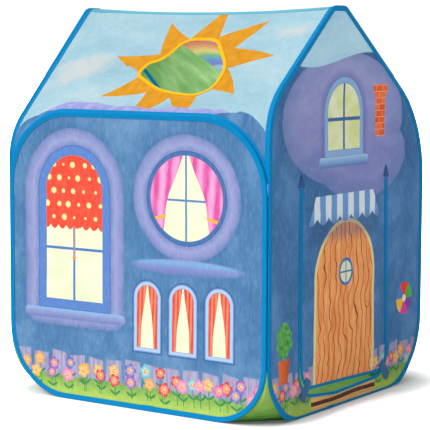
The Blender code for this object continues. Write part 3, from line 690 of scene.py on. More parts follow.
def folded_tape(paths, radius, leg, side, look, seed, ripple_share=1.0):
    edges = bpy.context.scene.tent_edges
    top = max(radius * 0.92 - edges.tape_thickness / 2, edges.leg_lift)
    return grown(folded_tape_tree(), paths, {
        "Edge Radius": radius, "Leg Width": leg, "Leg Side": float(side),
        "Tape Thickness": edges.tape_thickness, "Leg Lift": (top + edges.leg_lift) / 2,
        "Leg Slope": -side * atan2(top - edges.leg_lift, leg),
        "Ripple": edges.ripple * ripple_share, "Ripple Size": edges.ripple_size,
        "Seed": float(seed), "Material": look})


def stitches(paths, lift, look):
    """Stitches along flat paths, lifted off the cloth."""
    edges = bpy.context.scene.tent_edges
    lifted = [(np.column_stack((path, np.full(len(path), lift))), closed) for path, closed in paths]
    return grown(stitch_tree(), lifted, {
        "Stitch Pitch": edges.stitch_pitch, "Stitch Length": edges.stitch_length,
        "Thread Radius": edges.thread_radius, "Material": look})


# Print shading

def linear(hex_colour):
    """Linear RGBA from an sRGB hex colour."""
    channels = [int(hex_colour[i:i + 2], 16) / 255 for i in (0, 2, 4)]
    return tuple(c / 12.92 if c <= 0.04045 else ((c + 0.055) / 1.055) ** 2.4 for c in channels) + (1.0,)


class Ink:
    """One number of a print, ready for sums and comparisons."""

    def __init__(self, paper, socket):
        self.paper = paper
        self.socket = socket

    def __add__(self, other):
        return self.paper.math("ADD", self, other)

    def __radd__(self, other):
        return self.paper.math("ADD", other, self)

    def __sub__(self, other):
        return self.paper.math("SUBTRACT", self, other)

    def __rsub__(self, other):
        return self.paper.math("SUBTRACT", other, self)

    def __mul__(self, other):
        return self.paper.math("MULTIPLY", self, other)

    def __rmul__(self, other):
        return self.paper.math("MULTIPLY", other, self)

    def __truediv__(self, other):
        return self.paper.math("DIVIDE", self, other)

    def __neg__(self):
        return self.paper.math("MULTIPLY", self, -1)

    def __abs__(self):
        return self.paper.math("ABSOLUTE", self)


class Paper:
    """The node tree of one printed cloth, with its flat places in metres."""

    def __init__(self, tree):
        self.tree = tree
        self.nodes = tree.nodes
        uv = self.nodes.new("ShaderNodeUVMap")
        uv.uv_map = "print"
        split = self.nodes.new("ShaderNodeSeparateXYZ")
        tree.links.new(uv.outputs[0], split.inputs[0])
        self.x = (Ink(self, split.outputs[0]) - MAP_SHIFT) * MAP_SPAN
        self.y = (Ink(self, split.outputs[1]) - MAP_RISE) * MAP_SPAN

    def feed(self, socket, value):
        feed(self.tree, socket, value)

    def math(self, operation, a, b=None, c=None, clamp=False):
        made = self.nodes.new("ShaderNodeMath")
        made.operation = operation
        made.use_clamp = clamp
        for socket, value in zip(made.inputs, (a, b, c)):
            if value is not None:
                self.feed(socket, value)
        return Ink(self, made.outputs[0])

    def low(self, *values):
        """Smallest of several numbers."""
        found = values[0]
        for value in values[1:]:
            found = self.math("MINIMUM", found, value)
        return found

    def high(self, *values):
        """Largest of several numbers."""
        found = values[0]
        for value in values[1:]:
            found = self.math("MAXIMUM", found, value)
        return found

    def vector(self, x, y, z=0.0):
        made = self.nodes.new("ShaderNodeCombineXYZ")
        for socket, value in zip(made.inputs, (x, y, z)):
            self.feed(socket, value)
        return made.outputs[0]

    def cloud(self, size_x, size_y, seed, detail=2.0, x=None, y=None):
        """Smooth noise of 0 to 1, with one size across and one up."""
        made = self.nodes.new("ShaderNodeTexNoise")
        made.inputs["Scale"].default_value = 1.0
        made.inputs["Detail"].default_value = detail
        across = (self.x if x is None else x) / size_x
        up = (self.y if y is None else y) / size_y
        self.feed(made.inputs["Vector"], self.vector(across, up, seed * 3.7))
        return Ink(self, made.outputs[0])

    def inside(self, distance, soft=0.0012):
        """1 inside a shape and 0 outside it, with a soft edge."""
        return self.math("SUBTRACT", 0.5, distance / soft, clamp=True)

    def disc(self, x, y, radius):
        return self.math("SQRT", x * x + y * y) - radius

    def oval(self, x, y, rx, ry):
        return (self.math("SQRT", (x / rx) * (x / rx) + (y / ry) * (y / ry)) - 1) * min(rx, ry)

    def box(self, x, y, half_x, half_y, radius=0.0):
        over_x = abs(x) - (half_x - radius)
        over_y = abs(y) - (half_y - radius)
        out_x = self.high(over_x, 0.0)
        out_y = self.high(over_y, 0.0)
        outside = self.math("SQRT", out_x * out_x + out_y * out_y)
        return outside + self.low(self.high(over_x, over_y), 0.0) - radius

    def arch(self, x, y, half, foot, spring):
        """A round-headed opening from its foot to where its arch springs."""
        head = self.disc(x, y - spring, half)
        middle = (foot + spring) / 2
        body = self.box(x, y - middle, half, (spring - foot) / 2)
        return self.low(head, body)

    def wrap(self, value, period):
        """Place within a repeat, from minus to plus half the period."""
        return self.math("WRAP", value, period / 2, -period / 2)

    def cell(self, value, period):
        """Number of the repeat that a place is in."""
        return self.math("FLOOR", value / period + 0.5)

    def chance(self, x, y, seed):
        """A different number of 0 to 1 for each cell."""
        made = self.nodes.new("ShaderNodeTexWhiteNoise")
        made.noise_dimensions = "3D"
        self.feed(made.inputs["Vector"], self.vector(x, y, seed))
        return Ink(self, made.outputs["Value"])

    def paint(self, mask, under, over):
        """Over where the mask is 1, under where it is 0. Colours are hex, RGBA or sockets."""
        made = self.nodes.new("ShaderNodeMix")
        made.data_type = "RGBA"
        made.clamp_factor = True
        self.feed(made.inputs["Factor"], mask)
        for socket, value in ((made.inputs[6], under), (made.inputs[7], over)):
            self.feed(socket, linear(value) if isinstance(value, str) else value)
        return made.outputs[2]

    def lay(self, under, shape, over, soft=0.0012, share=1.0):
        """A colour laid over another inside a shape, at a share of its strength."""
        mask = self.inside(shape, soft)
        return self.paint(mask * share if share < 1 else mask, under, over)

    def choice(self, value, tones):
        """One of several plain tones, by a number of 0 to 1."""
        return self.ramp(value, [(i / len(tones), tone) for i, tone in enumerate(tones)], "CONSTANT")

    def ramp(self, value, stops, interpolation="LINEAR"):
        """Colours along a number of 0 to 1."""
        made = self.nodes.new("ShaderNodeValToRGB")
        made.color_ramp.interpolation = interpolation
        self.feed(made.inputs[0], value)
        elements = made.color_ramp.elements
        while len(elements) < len(stops):
            elements.new(1.0)
        for element, (place, colour) in zip(elements, stops):
            element.position = place
            element.color = linear(colour)
        return made.outputs[0]


def raised(tree, shader, height, distance=1.0, strength=1.0):
    """Bump of a height under a finish."""
    bump = tree.nodes.new("ShaderNodeBump")
    bump.inputs["Distance"].default_value = distance
    bump.inputs["Strength"].default_value = strength
    feed(tree, bump.inputs["Height"], height)
    tree.links.new(bump.outputs[0], shader.inputs["Normal"])


def fine_weave(paper, shader, pitch=0.0011, depth=0.00006, coarse=0.00018):
    """Bump of crossing threads with slow slubs over them."""
    across, up = (paper.math("SINE", place * (2 * pi / pitch)) for place in (paper.x, paper.y))
    slubs = paper.cloud(0.012, 0.012, 31, 3.0)
    raised(paper.tree, shader, across * up * depth + slubs * coarse, strength=0.5)


def new_finish(name, roughness, metallic=0.0, sheen=0.0):
    """A Principled material and its shader node."""
    made = bpy.data.materials.new(name)
    made.use_nodes = True
    shader = made.node_tree.nodes["Principled BSDF"]
    shader.inputs["Roughness"].default_value = roughness
    shader.inputs["Metallic"].default_value = metallic
    shader.inputs["Specular IOR Level"].default_value = 0.5 if metallic else 0.06
    if sheen:
        shader.inputs["Sheen Weight"].default_value = sheen
        shader.inputs["Sheen Roughness"].default_value = 0.5
    return made, shader


def printed(name, artwork, roughness=0.66):
    """A thin printed polyester: artwork(paper) gives its colour."""
    found = bpy.data.materials.get(name)
    if found:
        return found
    made, shader = new_finish(name, roughness)
    paper = Paper(made.node_tree)
    paper.feed(shader.inputs["Base Color"], artwork(paper))
    fine_weave(paper, shader)
    return made


def object_noise(tree, size, detail=2.0):
    """Noise socket in metres of the object's own coordinates."""
    place = tree.nodes.new("ShaderNodeTexCoord")
    mapping = tree.nodes.new("ShaderNodeMapping")
    mapping.inputs["Scale"].default_value = [1 / size] * 3
    tree.links.new(place.outputs["Object"], mapping.inputs["Vector"])
    pattern = tree.nodes.new("ShaderNodeTexNoise")
    pattern.inputs["Scale"].default_value = 1.0
    pattern.inputs["Detail"].default_value = detail
    tree.links.new(mapping.outputs[0], pattern.inputs["Vector"])
    return pattern.outputs[0]


def plain_textile(name, dark, light, roughness, size=0.006, bump_size=0.0009, depth=0.0002,
                  sheen=0.0):
    """A one-colour tape or thread with slight mottling and a fine ribbed bump."""
    found = bpy.data.materials.get(name)
    if found:
        return found
    made, shader = new_finish(name, roughness, sheen=sheen)
    tree = made.node_tree
    mix = tree.nodes.new("ShaderNodeMix")
    mix.data_type = "RGBA"
    mix.inputs[6].default_value = dark
    mix.inputs[7].default_value = light
    tree.links.new(object_noise(tree, size), mix.inputs["Factor"])
    tree.links.new(mix.outputs[2], shader.inputs["Base Color"])
    raised(tree, shader, object_noise(tree, bump_size, 1.0), depth, 0.6)
    return made


def tape_finish():
    colours = bpy.context.scene.tent_colours
    return plain_textile("bright_blue_tape", tuple(colours.tape_shade), tuple(colours.tape), 0.6)


def ridge_finish():
    colours = bpy.context.scene.tent_colours
    return plain_textile("turquoise_ridge_tape", tuple(colours.ridge_shade), tuple(colours.ridge), 0.62)


def window_tape_finish():
    colours = bpy.context.scene.tent_colours
    return plain_textile("yellow_window_tape", tuple(colours.window_shade), tuple(colours.window), 0.6)


def thread_finish():
    return plain_textile("blue_thread", linear("0b6fb4"), linear("1d8fd2"), 0.5)


def yellow_thread_finish():
    return plain_textile("yellow_thread", linear("d99206"), linear("f2b21c"), 0.5)


def patch_finish():
    return plain_textile("dark_blue_patch", linear("2b588e"), linear("36669c"), 0.7)


def floor_finish():
    return plain_textile("green_floor_cloth", linear("558638"), linear("6c9c46"), 0.6, size=0.03)


def gusset_finish_with_painted_shade():
    """Green cloth with painted light and shade: lighter and yellowish at the top where light falls,
    darker towards the floor in shade, and a painted shade line along its fold with a painted highlight
    beside it.
    """
    found = bpy.data.materials.get("green_gusset_cloth_painted_shade")
    if found:
        return found
    made, shader = new_finish("green_gusset_cloth_painted_shade", 0.6)
    paper = Paper(made.node_tree)
    # Painted light and shade: the green is painted lighter at the top and darker towards the floor
    down = paper.y / 0.228 + (paper.cloud(0.05, 0.03, 160) - 0.5) * 0.30
    tone = paper.ramp(down, ((0.30, "97bc5e"), (0.52, "7caa4c"), (0.70, "437e2a"), (0.92, "28601a")))
    # Painted shade along the fold line, with a painted highlight just beside it
    crease = paper.y - 0.146 - paper.math("SINE", paper.x * 16 + 0.7) * 0.008
    tone = paper.lay(tone, abs(crease) - 0.0012, "2a6420", 0.0020, share=0.75)
    tone = paper.lay(tone, abs(crease - 0.004) - 0.002, "b6d67c", 0.005, share=0.25)
    paper.feed(shader.inputs["Base Color"], tone)
    fine_weave(paper, shader)
    return made


def wire_finish():
    """Drawn spring wire: fine lengthwise lines and a dull oiled shine."""
    found = bpy.data.materials.get("drawn_spring_wire")
    if found:
        return found
    made, shader = new_finish("drawn_spring_wire", 0.34, 1.0)
    tree = made.node_tree
    mix = tree.nodes.new("ShaderNodeMix")
    mix.data_type = "RGBA"
    mix.inputs[6].default_value = linear("6f757a")
    mix.inputs[7].default_value = linear("9aa0a5")
    tree.links.new(object_noise(tree, 0.004, 3.0), mix.inputs["Factor"])
    tree.links.new(mix.outputs[2], shader.inputs["Base Color"])
    return made


def crimp_finish():
    """Bright crimped tube with shallow tool dents."""
    found = bpy.data.materials.get("crimped_tube")
    if found:
        return found
    made, shader = new_finish("crimped_tube", 0.28, 1.0)
    tree = made.node_tree
    shader.inputs["Base Color"].default_value = linear("b8bcc0")
    raised(tree, shader, object_noise(tree, 0.003, 1.0), 0.0004)
    return made


# The prints

GABLE_PLASTER = ("3a6b9e", "4679ae", "5e90c2")
GABLE_SKY = ("9ccbe2", "acdaef", "bfe3f2")
ATTIC_STONE = ((0.30, "7f88c4"), (0.50, "9297cc"), (0.70, "a4a8d6"))
WINDOW_TONES = ("5b82c4", "dfe7c0", "4e78b8")
RED_CURTAINS = ("cf4a36", "f06a50", "f78a6c")
FLOWER_TONES = ("f0a032", "ee7fb4", "6a68b8", "a358b4", "d83a32", "5fc2cc", "f5b648", "e35a9c")
PINWHEEL_TONES = ("f3c52e", "e04a9c", "7f4fae", "4cb84e", "ee4530", "5b7fd0")


def plaster(paper, seed, tones=("3f6d98", "4d7ca9", "6a92ba"), lit="86a9cb"):
    """Painted steel-blue plaster with upright brush strokes."""
    broad = paper.cloud(0.13, 0.20, seed)
    strokes = paper.cloud(0.011, 0.034, seed + 1, 4.0)
    wash = paper.cloud(0.035, 0.045, seed + 2, 3.0)
    base = paper.ramp(broad * 0.65 + wash * 0.35, tuple(zip((0.30, 0.50, 0.70), tones)))
    light = paper.math("SUBTRACT", strokes, 0.47, clamp=True) * 0.6
    return paper.paint(light, base, lit)


def brushed(paper, colour, seed, size=0.006, share=0.05):
    """The same colour with thin light and dark strokes over it."""
    strokes = paper.cloud(size, size * 3, seed, 3.0)
    light = paper.math("SUBTRACT", strokes, 0.5, clamp=True) * (share * 4)
    dark = paper.math("SUBTRACT", 0.5, strokes, clamp=True) * (share * 4)
    colour = paper.paint(light, colour, "ffffff")
    return paper.paint(dark, colour, "2a3a5c")


def surround(paper, colour, distance, width, seed):
    """A soft lavender stone surround outside a window's frame."""
    across = distance / width
    tone = paper.ramp(across + (paper.cloud(0.03, 0.06, seed) - 0.5) * 0.5,
                      ((0.0, "7786ba"), (0.35, "949cc8"), (0.75, "858dbf"), (1.0, "6480b2")))
    shadow = paper.inside(distance - width * 1.12, width * 0.5)
    colour = paper.paint(shadow * 0.45, colour, "3c5f92")
    return paper.lay(colour, distance - width, tone, 0.004)


def glazed(paper, colour, distance, frame, frame_tone, glass_tone, seed):
    """A painted frame round cream-green glass."""
    colour = paper.lay(colour, distance, frame_tone)
    rim = paper.high(paper.inside(abs(distance + 0.001) - 0.0012),
                     paper.inside(abs(distance + frame) - 0.0012))
    colour = paper.paint(rim * 0.6, colour, "335f99")
    glass = paper.ramp(paper.cloud(0.05, 0.05, seed), ((0.35, glass_tone), (0.7, "eef2cf")))
    return paper.lay(colour, distance + frame, glass)


def bars(paper, colour, glass, x, y, half, tone):
    """One upright and one level bar over the glass."""
    cross = paper.low(abs(x), abs(y)) - half
    return paper.lay(colour, paper.high(glass, cross), tone)


def window(paper, colour, shape, stone, frame, x, y, half, seed, tones=WINDOW_TONES):
    """A stone surround, a painted frame, glass and two bars. Gives the glass's shape too."""
    colour = surround(paper, colour, shape, stone, seed)
    colour = glazed(paper, colour, shape, frame, tones[0], tones[1], seed + 1)
    glass = shape + frame
    return bars(paper, colour, glass, x, y, half, tones[2]), glass


def dotted_blind(paper, colour, glass, x, y, hem):
    """A red roller blind with cream dots and a scalloped hem."""
    scallops = abs(paper.math("SINE", x * (pi / 0.026))) * 0.010
    cloth = paper.high(glass, hem - scallops - y)
    pitch = 0.034
    row = paper.cell(y, pitch)
    shifted = x + row * (pitch / 2)
    column = paper.cell(shifted, pitch)
    size = paper.chance(column, row, 3) * 0.0055 + 0.0032
    dot_x = paper.wrap(shifted, pitch) + (paper.chance(column, row, 5) - 0.5) * 0.008
    dot_y = paper.wrap(y, pitch)
    turn = paper.math("ARCTAN2", dot_y, dot_x)
    points = paper.math("COSINE", turn * 10) * 0.0009
    dots = paper.disc(dot_x, dot_y, size + points)
    red = paper.paint(paper.cloud(0.02, 0.05, 8), "e2402e", "ee5a44")
    painted = paper.lay(red, dots, "fbe39a")
    return paper.lay(colour, cloth, painted)


def curtains(paper, colour, glass, x, top, height, reach, tones, seed):
    """A pair of curtains drawn back to both sides of a window."""
    drop = (top - paper.y) / height
    swing = paper.math("POWER", paper.math("MAXIMUM", drop, 0.0), 0.7)
    edge = reach * (1 - swing * 0.75) + paper.math("SINE", drop * 9) * reach * 0.04
    apart = reach - abs(x)
    cloth = paper.high(glass, apart - edge)
    folds = paper.math("SINE", x * (2 * pi / (reach * 0.34)) + drop * 3)
    tone = paper.ramp(folds * 0.28 + paper.cloud(0.01, 0.05, seed) * 0.5 + 0.25,
                      tuple(zip((0.25, 0.5, 0.8), tones)))
    colour = paper.lay(colour, cloth, tone)
    rim = abs(cloth + 0.0006) - 0.0007
    return paper.lay(colour, paper.high(rim, glass), tones[0], share=0.7)


def meadow(paper, colour, seed, ground=0.048):
    """A picket fence, grass and a row of five-petalled flowers along the foot."""
    x, y = paper.x, paper.y
    pitch = 0.060
    number = paper.cell(x, pitch)
    place = paper.wrap(x, pitch)
    top = paper.chance(number, 1.0, seed) * 0.010 + 0.116
    slant = (paper.chance(number, 2.0, seed) - 0.5) * 0.35
    half = 0.0285 - (y - 0.03) * 0.055
    picket = paper.high(abs(place) - half, y - top - place * slant)
    wood = paper.ramp(paper.cloud(0.006, 0.06, seed + 1),
                      ((0.3, "8e8cb0"), (0.55, "a5a0bd"), (0.8, "b9b3c8")))
    colour = paper.lay(colour, picket, wood, 0.0016)
    edge = abs(picket + 0.0012) - 0.0008
    colour = paper.lay(colour, edge, "5b63a0", share=0.35)

    blades = paper.cloud(0.0035, 0.02, seed + 2, 1.0) * 0.022
    hill = ground + (paper.cloud(0.16, 0.16, seed + 3) - 0.5) * 0.035
    grass = y - hill - blades
    green = paper.ramp(y / 0.07 + (paper.cloud(0.02, 0.012, seed + 4) - 0.5) * 0.5,
                       ((0.15, "b2cf5e"), (0.45, "9cc05a"), (0.8, "7ba656"), (1.0, "6a9852")))
    colour = paper.lay(colour, grass, green, 0.003)

    for row, pitch, level in ((0, 0.049, 0.080), (1, 0.053, 0.060)):
        colour = flowers(paper, colour, seed + row * 5, pitch, level)
    return colour


def flowers(paper, colour, seed, pitch, level):
    """A row of five-petalled flowers on leafy stems."""
    x = paper.x + pitch * seed * 0.37
    y = paper.y
    number = paper.cell(x, pitch)
    place = paper.wrap(x, pitch) + (paper.chance(number, 3.0, seed) - 0.5) * 0.010
    height = paper.chance(number, 4.0, seed) * 0.022 + level
    up = y - height
    lean = place + up * 0.12
    stem = paper.high(abs(lean) - 0.0011, up, 0.026 - y)
    leaf_x = abs(lean) - 0.0085
    leaf_y = up + 0.030 - leaf_x * 0.6
    leaves = paper.oval(leaf_x, leaf_y, 0.0085, 0.0036)
    colour = paper.lay(colour, paper.low(stem, leaves), "3f8a4c")
    turn = paper.math("ARCTAN2", up, place) + paper.chance(number, 5.0, seed) * 3
    petals = abs(paper.math("COSINE", turn * 2.5))
    size = paper.chance(number, 6.0, seed) * 0.004 + 0.0155
    reach = paper.math("SQRT", place * place + up * up)
    flower = reach - size * (0.52 + 0.48 * paper.math("POWER", petals, 0.6))
    hue = paper.choice(paper.chance(number, 7.0, seed), FLOWER_TONES)
    petal = paper.paint(reach / size * 1.1 + 0.15, "ffe9d2", hue)
    petal = paper.paint(paper.math("SUBTRACT", 0.40, petals, clamp=True) * 1.2, petal, "6a3a62")
    colour = paper.lay(colour, flower, petal)
    heart = paper.inside(paper.disc(place, up, 0.0052))
    colour = paper.paint(heart, colour, "f08a2c")
    return paper.lay(colour, paper.disc(place - 0.001, up - 0.001, 0.0026), "ffe08a")


def sky(paper, seed, tones=("8db3c2", "9bbecb", "b0c9d0")):
    """Pale painted sky with soft clouds of brush strokes."""
    broad = paper.cloud(0.22, 0.10, seed, 3.0)
    fine = paper.cloud(0.02, 0.012, seed + 1, 3.0)
    return paper.ramp(broad * 0.75 + fine * 0.25, tuple(zip((0.30, 0.50, 0.68), tones)))


def pasture(paper, seed):
    """Light green strokes of a grassy hill."""
    strokes = paper.cloud(0.05, 0.12, seed, 3.0)
    return paper.ramp(strokes, ((0.30, "7fb566"), (0.50, "98c878"), (0.72, "bcdc9c")))


def artwork_front_wall(paper):
    x, y = paper.x, paper.y
    colour = plaster(paper, 3)

    tall = paper.arch(x + 0.190, y, 0.118, 0.235, 0.545)
    colour, glass = window(paper, colour, tall, 0.044, 0.026, x + 0.190, y - 0.395, 0.0035, 40)
    colour = dotted_blind(paper, colour, glass, x + 0.190, y, 0.455)
    cord = paper.high(abs(x + 0.190) - 0.0011, y - 0.455, 0.375 - y)
    pull = paper.disc(x + 0.190, y - 0.372, 0.0055)
    colour = paper.lay(colour, paper.low(cord, pull), "ee8a3c")
    sill = paper.box(x + 0.190, y - 0.222, 0.165, 0.013, 0.012)
    colour = paper.lay(colour, sill,
                       paper.ramp((y - 0.209) / 0.026,
                                  ((0.0, "6b7cb2"), (0.6, "8f97c8"), (0.9, "84b2da"))), 0.003)

    oval = paper.oval(x - 0.165, y - 0.545, 0.122, 0.118)
    colour, glass = window(paper, colour, oval, 0.040, 0.012, x - 0.165, y - 0.540, 0.0028, 44,
                           ("456fa6", "e3ebc6", "5b82b8"))
    colour = curtains(paper, colour, glass, x - 0.165, 0.665, 0.235, 0.110,
                      ("d2559c", "ee82bd", "f6a5d0"), 46)
    tie = paper.high(glass, abs(y - 0.515 + abs(x - 0.165) * 0.25) - 0.004,
                     0.062 - abs(x - 0.165))
    colour = paper.lay(colour, tie, "f0b13c")

    rail = paper.oval(x - 0.165, y - 0.372, 0.165, 0.020)
    colour = paper.lay(colour, rail,
                       paper.ramp((y - 0.352) / 0.04,
                                  ((0.0, "6078b0"), (0.5, "7f8cc2"), (0.75, "76a8d6"),
                                   (1.0, "8c95c8"))), 0.004)
    for centre in (0.045, 0.155, 0.265):
        small = paper.arch(x - centre, y, 0.043, 0.150, 0.288)
        colour = paper.lay(colour, small - 0.004, "3f659c", 0.004)
        colour = glazed(paper, colour, small, 0.011, "a9c4e6", "dfe7c0", 48)
        glass = small + 0.011
        colour = curtains(paper, colour, glass, x - centre, 0.325, 0.20, 0.034, RED_CURTAINS, 49)

    return brushed(paper, meadow(paper, colour, 60), 61)


def artwork_gable(paper):
    x, y = paper.x, paper.y
    colour = plaster(paper, 7, GABLE_PLASTER, "7ea9d2")

    attic = paper.low(paper.oval(x + 0.03, y - 0.735, 0.300, 0.170),
                      paper.oval(x - 0.06, y - 0.640, 0.230, 0.115))
    tone = paper.ramp(paper.cloud(0.10, 0.06, 70) * 0.6 + (y - 0.55) * 1.0, ATTIC_STONE)
    tone = paper.lay(tone, -0.022 - attic, "5f7fb4", 0.050, share=0.55)
    colour = paper.lay(colour, attic - 0.012, "2f568a", 0.05, share=0.5)
    colour = paper.lay(colour, attic, tone, 0.004)
    over = y - 0.885 - paper.math("SINE", x * 11 + 0.6) * 0.018
    colour = paper.lay(colour, -over, sky(paper, 72, GABLE_SKY), 0.004)

    course = 0.0165
    row = paper.cell(y, course)
    brick_x = paper.wrap(x + row * 0.016, 0.032)
    mortar = paper.low(0.0153 - abs(brick_x),
                       0.0076 - abs(paper.wrap(y, course)))
    brick = paper.ramp(paper.chance(paper.cell(x + row * 0.016, 0.032), row, 9),
                       ((0.2, "e8592c"), (0.8, "f4763c")))
    brick = paper.lay(brick, mortar, "f9bf98", 0.001)
    stack = paper.low(paper.box(x - 0.150, y - 0.742, 0.026, 0.058),
                      paper.box(x - 0.150, y - 0.806, 0.036, 0.013))
    colour = paper.lay(colour, stack, brick)

    bay = paper.arch(x + 0.035, y, 0.098, 0.640, 0.745)
    colour = paper.lay(colour, bay - 0.016, "5f6cb0", 0.02, share=0.5)
    colour = glazed(paper, colour, bay, 0.018, "8fb4e0", "dbe59a", 74)
    glass = bay + 0.018
    colour = bars(paper, colour, glass, x + 0.035, y - 0.735, 0.0045, "466fa4")
    sill = paper.box(x + 0.035, y - 0.628, 0.122, 0.013, 0.008)
    colour = paper.lay(colour, sill,
                       paper.ramp((y - 0.615) / 0.026,
                                  ((0.0, "5b7cba"), (0.6, "8db4e0"), (1.0, "a9cbee"))), 0.002)

    colour = meadow(paper, colour, 90, 0.046)
    stripe = paper.wrap(x + 0.03, 0.056)
    scallop = abs(paper.math("SINE", (x + 0.03) * (pi / 0.056) + pi / 2)) * 0.016
    awning = paper.high(paper.box(x + 0.03, y - 0.510, 0.182 - (y - 0.47) * 0.5, 0.036),
                        0.490 - scallop - y)
    cloth = paper.lay("dfe9f2", abs(stripe) - 0.014, "6f9fd6")
    cloth = paper.paint(paper.math("SUBTRACT", 0.497, y, clamp=True) * 18, cloth, "4a6fb0")
    shade = paper.inside(paper.box(x + 0.03, y - 0.462, 0.175, 0.030), 0.030)
    door = paper.arch(x + 0.028, y, 0.142, 0.052, 0.330)
    grain = x + 0.028 + (paper.cloud(0.11, 0.10, 80) - 0.5) * 0.085
    line = abs(paper.wrap(grain, 0.0265)) - 0.0013
    plank = paper.ramp(paper.cloud(0.012, 0.09, 81, 3.0),
                       ((0.3, "ea8c4a"), (0.5, "fba460"), (0.75, "ffbb7e")))
    plank = paper.lay(plank, line, "562a15", 0.001, share=0.95)
    colour = paper.lay(colour, door - 0.010, "f0dc9c")
    colour = paper.lay(colour, door, plank)
    porthole = paper.disc(x + 0.028, y - 0.345, 0.036)
    colour = paper.lay(colour, porthole, "4d7cba")
    colour = paper.lay(colour, porthole + 0.008, "e4ecc4")
    colour = bars(paper, colour, porthole + 0.008, x + 0.028, y - 0.345, 0.0022, "4d7cba")
    colour = paper.lay(colour, paper.disc(x - 0.088, y - 0.245, 0.0085), "b4641e")
    colour = paper.lay(colour, paper.disc(x - 0.087, y - 0.246, 0.0062), "f7b53c")
    colour = paper.paint(shade * 0.45, colour, "36507c")
    colour = paper.lay(colour, awning, cloth)

    path = paper.high(abs(x + 0.025) - 0.162, y - 0.058)
    board = paper.ramp(paper.cloud(0.09, 0.006, 92, 2.0), ((0.3, "dcac60"), (0.7, "f0c684")))
    gap = y - 0.024 - (paper.cloud(0.12, 0.12, 93) - 0.5) * 0.010
    board = paper.lay(board, abs(gap) - 0.0055, "5f3a2e")
    colour = paper.lay(colour, path, board)

    pot_x = x + 0.315
    leaves = paper.oval(pot_x + (paper.cloud(0.012, 0.012, 95) - 0.5) * 0.03, y - 0.205, 0.034, 0.046)
    leaf = paper.ramp(paper.cloud(0.008, 0.012, 96), ((0.35, "3d8a4a"), (0.6, "6ab65a")))
    colour = paper.lay(colour, leaves, leaf)
    pot = paper.high(abs(pot_x) - 0.018 - (y - 0.10) * 0.16, abs(y - 0.128) - 0.030)
    clay = paper.ramp((pot_x + 0.03) / 0.06, ((0.2, "e8743c"), (0.9, "c4522a")))
    colour = paper.lay(colour, pot, clay)

    ball_x = x - 0.298
    ball_y = y - 0.235
    turn = paper.math("FLOOR", (paper.math("ARCTAN2", ball_y, ball_x) / (2 * pi) + 0.5) * 6)
    vanes = paper.choice(turn / 6 + 0.05, PINWHEEL_TONES)
    colour = paper.lay(colour, paper.disc(ball_x, ball_y, 0.044), vanes)
    colour = paper.lay(colour, paper.disc(ball_x, ball_y, 0.010), "f4ecc8")
    return brushed(paper, colour, 97)


def artwork_back_wall(paper):
    x, y = paper.x, paper.y
    colour = plaster(paper, 11)
    for centre, seed in ((-0.18, 110), (0.18, 114)):
        tall = paper.arch(x - centre, y, 0.095, 0.260, 0.520)
        colour, glass = window(paper, colour, tall, 0.038, 0.020, x - centre, y - 0.400, 0.0035, seed)
        colour = curtains(paper, colour, glass, x - centre, 0.60, 0.33, 0.080, RED_CURTAINS, seed + 2)
    return brushed(paper, meadow(paper, colour, 120), 121)


def artwork_left_gable(paper):
    x, y = paper.x, paper.y
    colour = plaster(paper, 15, GABLE_PLASTER, "7ea9d2")
    hill = paper.oval(x - 0.38, y - 0.76, 0.27, 0.17)
    colour = paper.lay(colour, hill, pasture(paper, 154), 0.003)
    attic = paper.oval(x + 0.06, y - 0.720, 0.240, 0.180)
    tone = paper.ramp(paper.cloud(0.10, 0.06, 130), ATTIC_STONE)
    tone = paper.lay(tone, -0.022 - attic, "5f7fb4", 0.050, share=0.55)
    colour = paper.lay(colour, attic, tone, 0.004)
    over = y - 0.885 - paper.math("SINE", x * 11) * 0.018
    colour = paper.lay(colour, -over, sky(paper, 132, GABLE_SKY), 0.004)
    tall = paper.arch(x, y, 0.130, 0.250, 0.520)
    colour, glass = window(paper, colour, tall, 0.042, 0.024, x, y - 0.400, 0.004, 134)
    colour = dotted_blind(paper, colour, glass, x, y, 0.47)
    return brushed(paper, meadow(paper, colour, 140), 141)


def artwork_front_roof(paper):
    x, y = paper.x, paper.y
    colour = sky(paper, 21)
    ragged = (paper.cloud(0.03, 0.03, 23, 3.0) - 0.5) * 0.045
    for cx, cy, rx, ry in ((-0.300, 0.170, 0.070, 0.030), (-0.255, 0.205, 0.055, 0.036),
                           (-0.330, 0.205, 0.045, 0.026), (0.315, 0.330, 0.045, 0.018)):
        puff = paper.oval(x - cx, y - cy, rx, ry) + ragged
        colour = paper.lay(colour, puff, "bfc4c4", 0.026, share=0.8)

    sun_x = x - 0.062
    sun_y = y - 0.192
    reach = paper.math("SQRT", sun_x * sun_x + sun_y * sun_y)
    turn = paper.math("ARCTAN2", sun_y, sun_x) + reach * 0.9 + 0.28
    rays = 9
    number = paper.cell(turn, 2 * pi / rays)
    place = paper.wrap(turn, 2 * pi / rays)
    length = paper.chance(number, 1.0, 25) * 0.045 + 0.225
    half = 0.056 * (1 - (reach - 0.100) / (length - 0.100))
    ray = paper.high(abs(place) * reach - half, reach - length)
    amber = paper.ramp(paper.cloud(0.03, 0.03, 27, 3.0),
                       ((0.3, "c98612"), (0.6, "d4931e"), (0.8, "dd9f34")))
    colour = paper.lay(colour, ray, amber)

    hills = y - 0.020 - (paper.cloud(0.14, 0.14, 28) - 0.35) * 0.070
    far = paper.ramp(paper.cloud(0.02, 0.01, 29), ((0.35, "8c90ca"), (0.65, "a6a6da")))
    colour = paper.lay(colour, hills, far, 0.002)
    corner = y - (abs(x + 0.01) - 0.235) * 0.42 - (paper.cloud(0.06, 0.06, 30) - 0.5) * 0.030
    deep = paper.ramp(paper.cloud(0.02, 0.05, 31), ((0.35, "3f6c9c"), (0.65, "5b88b4")))
    colour = paper.lay(colour, corner, deep, 0.002)
    return brushed(paper, colour, 32, share=0.04)


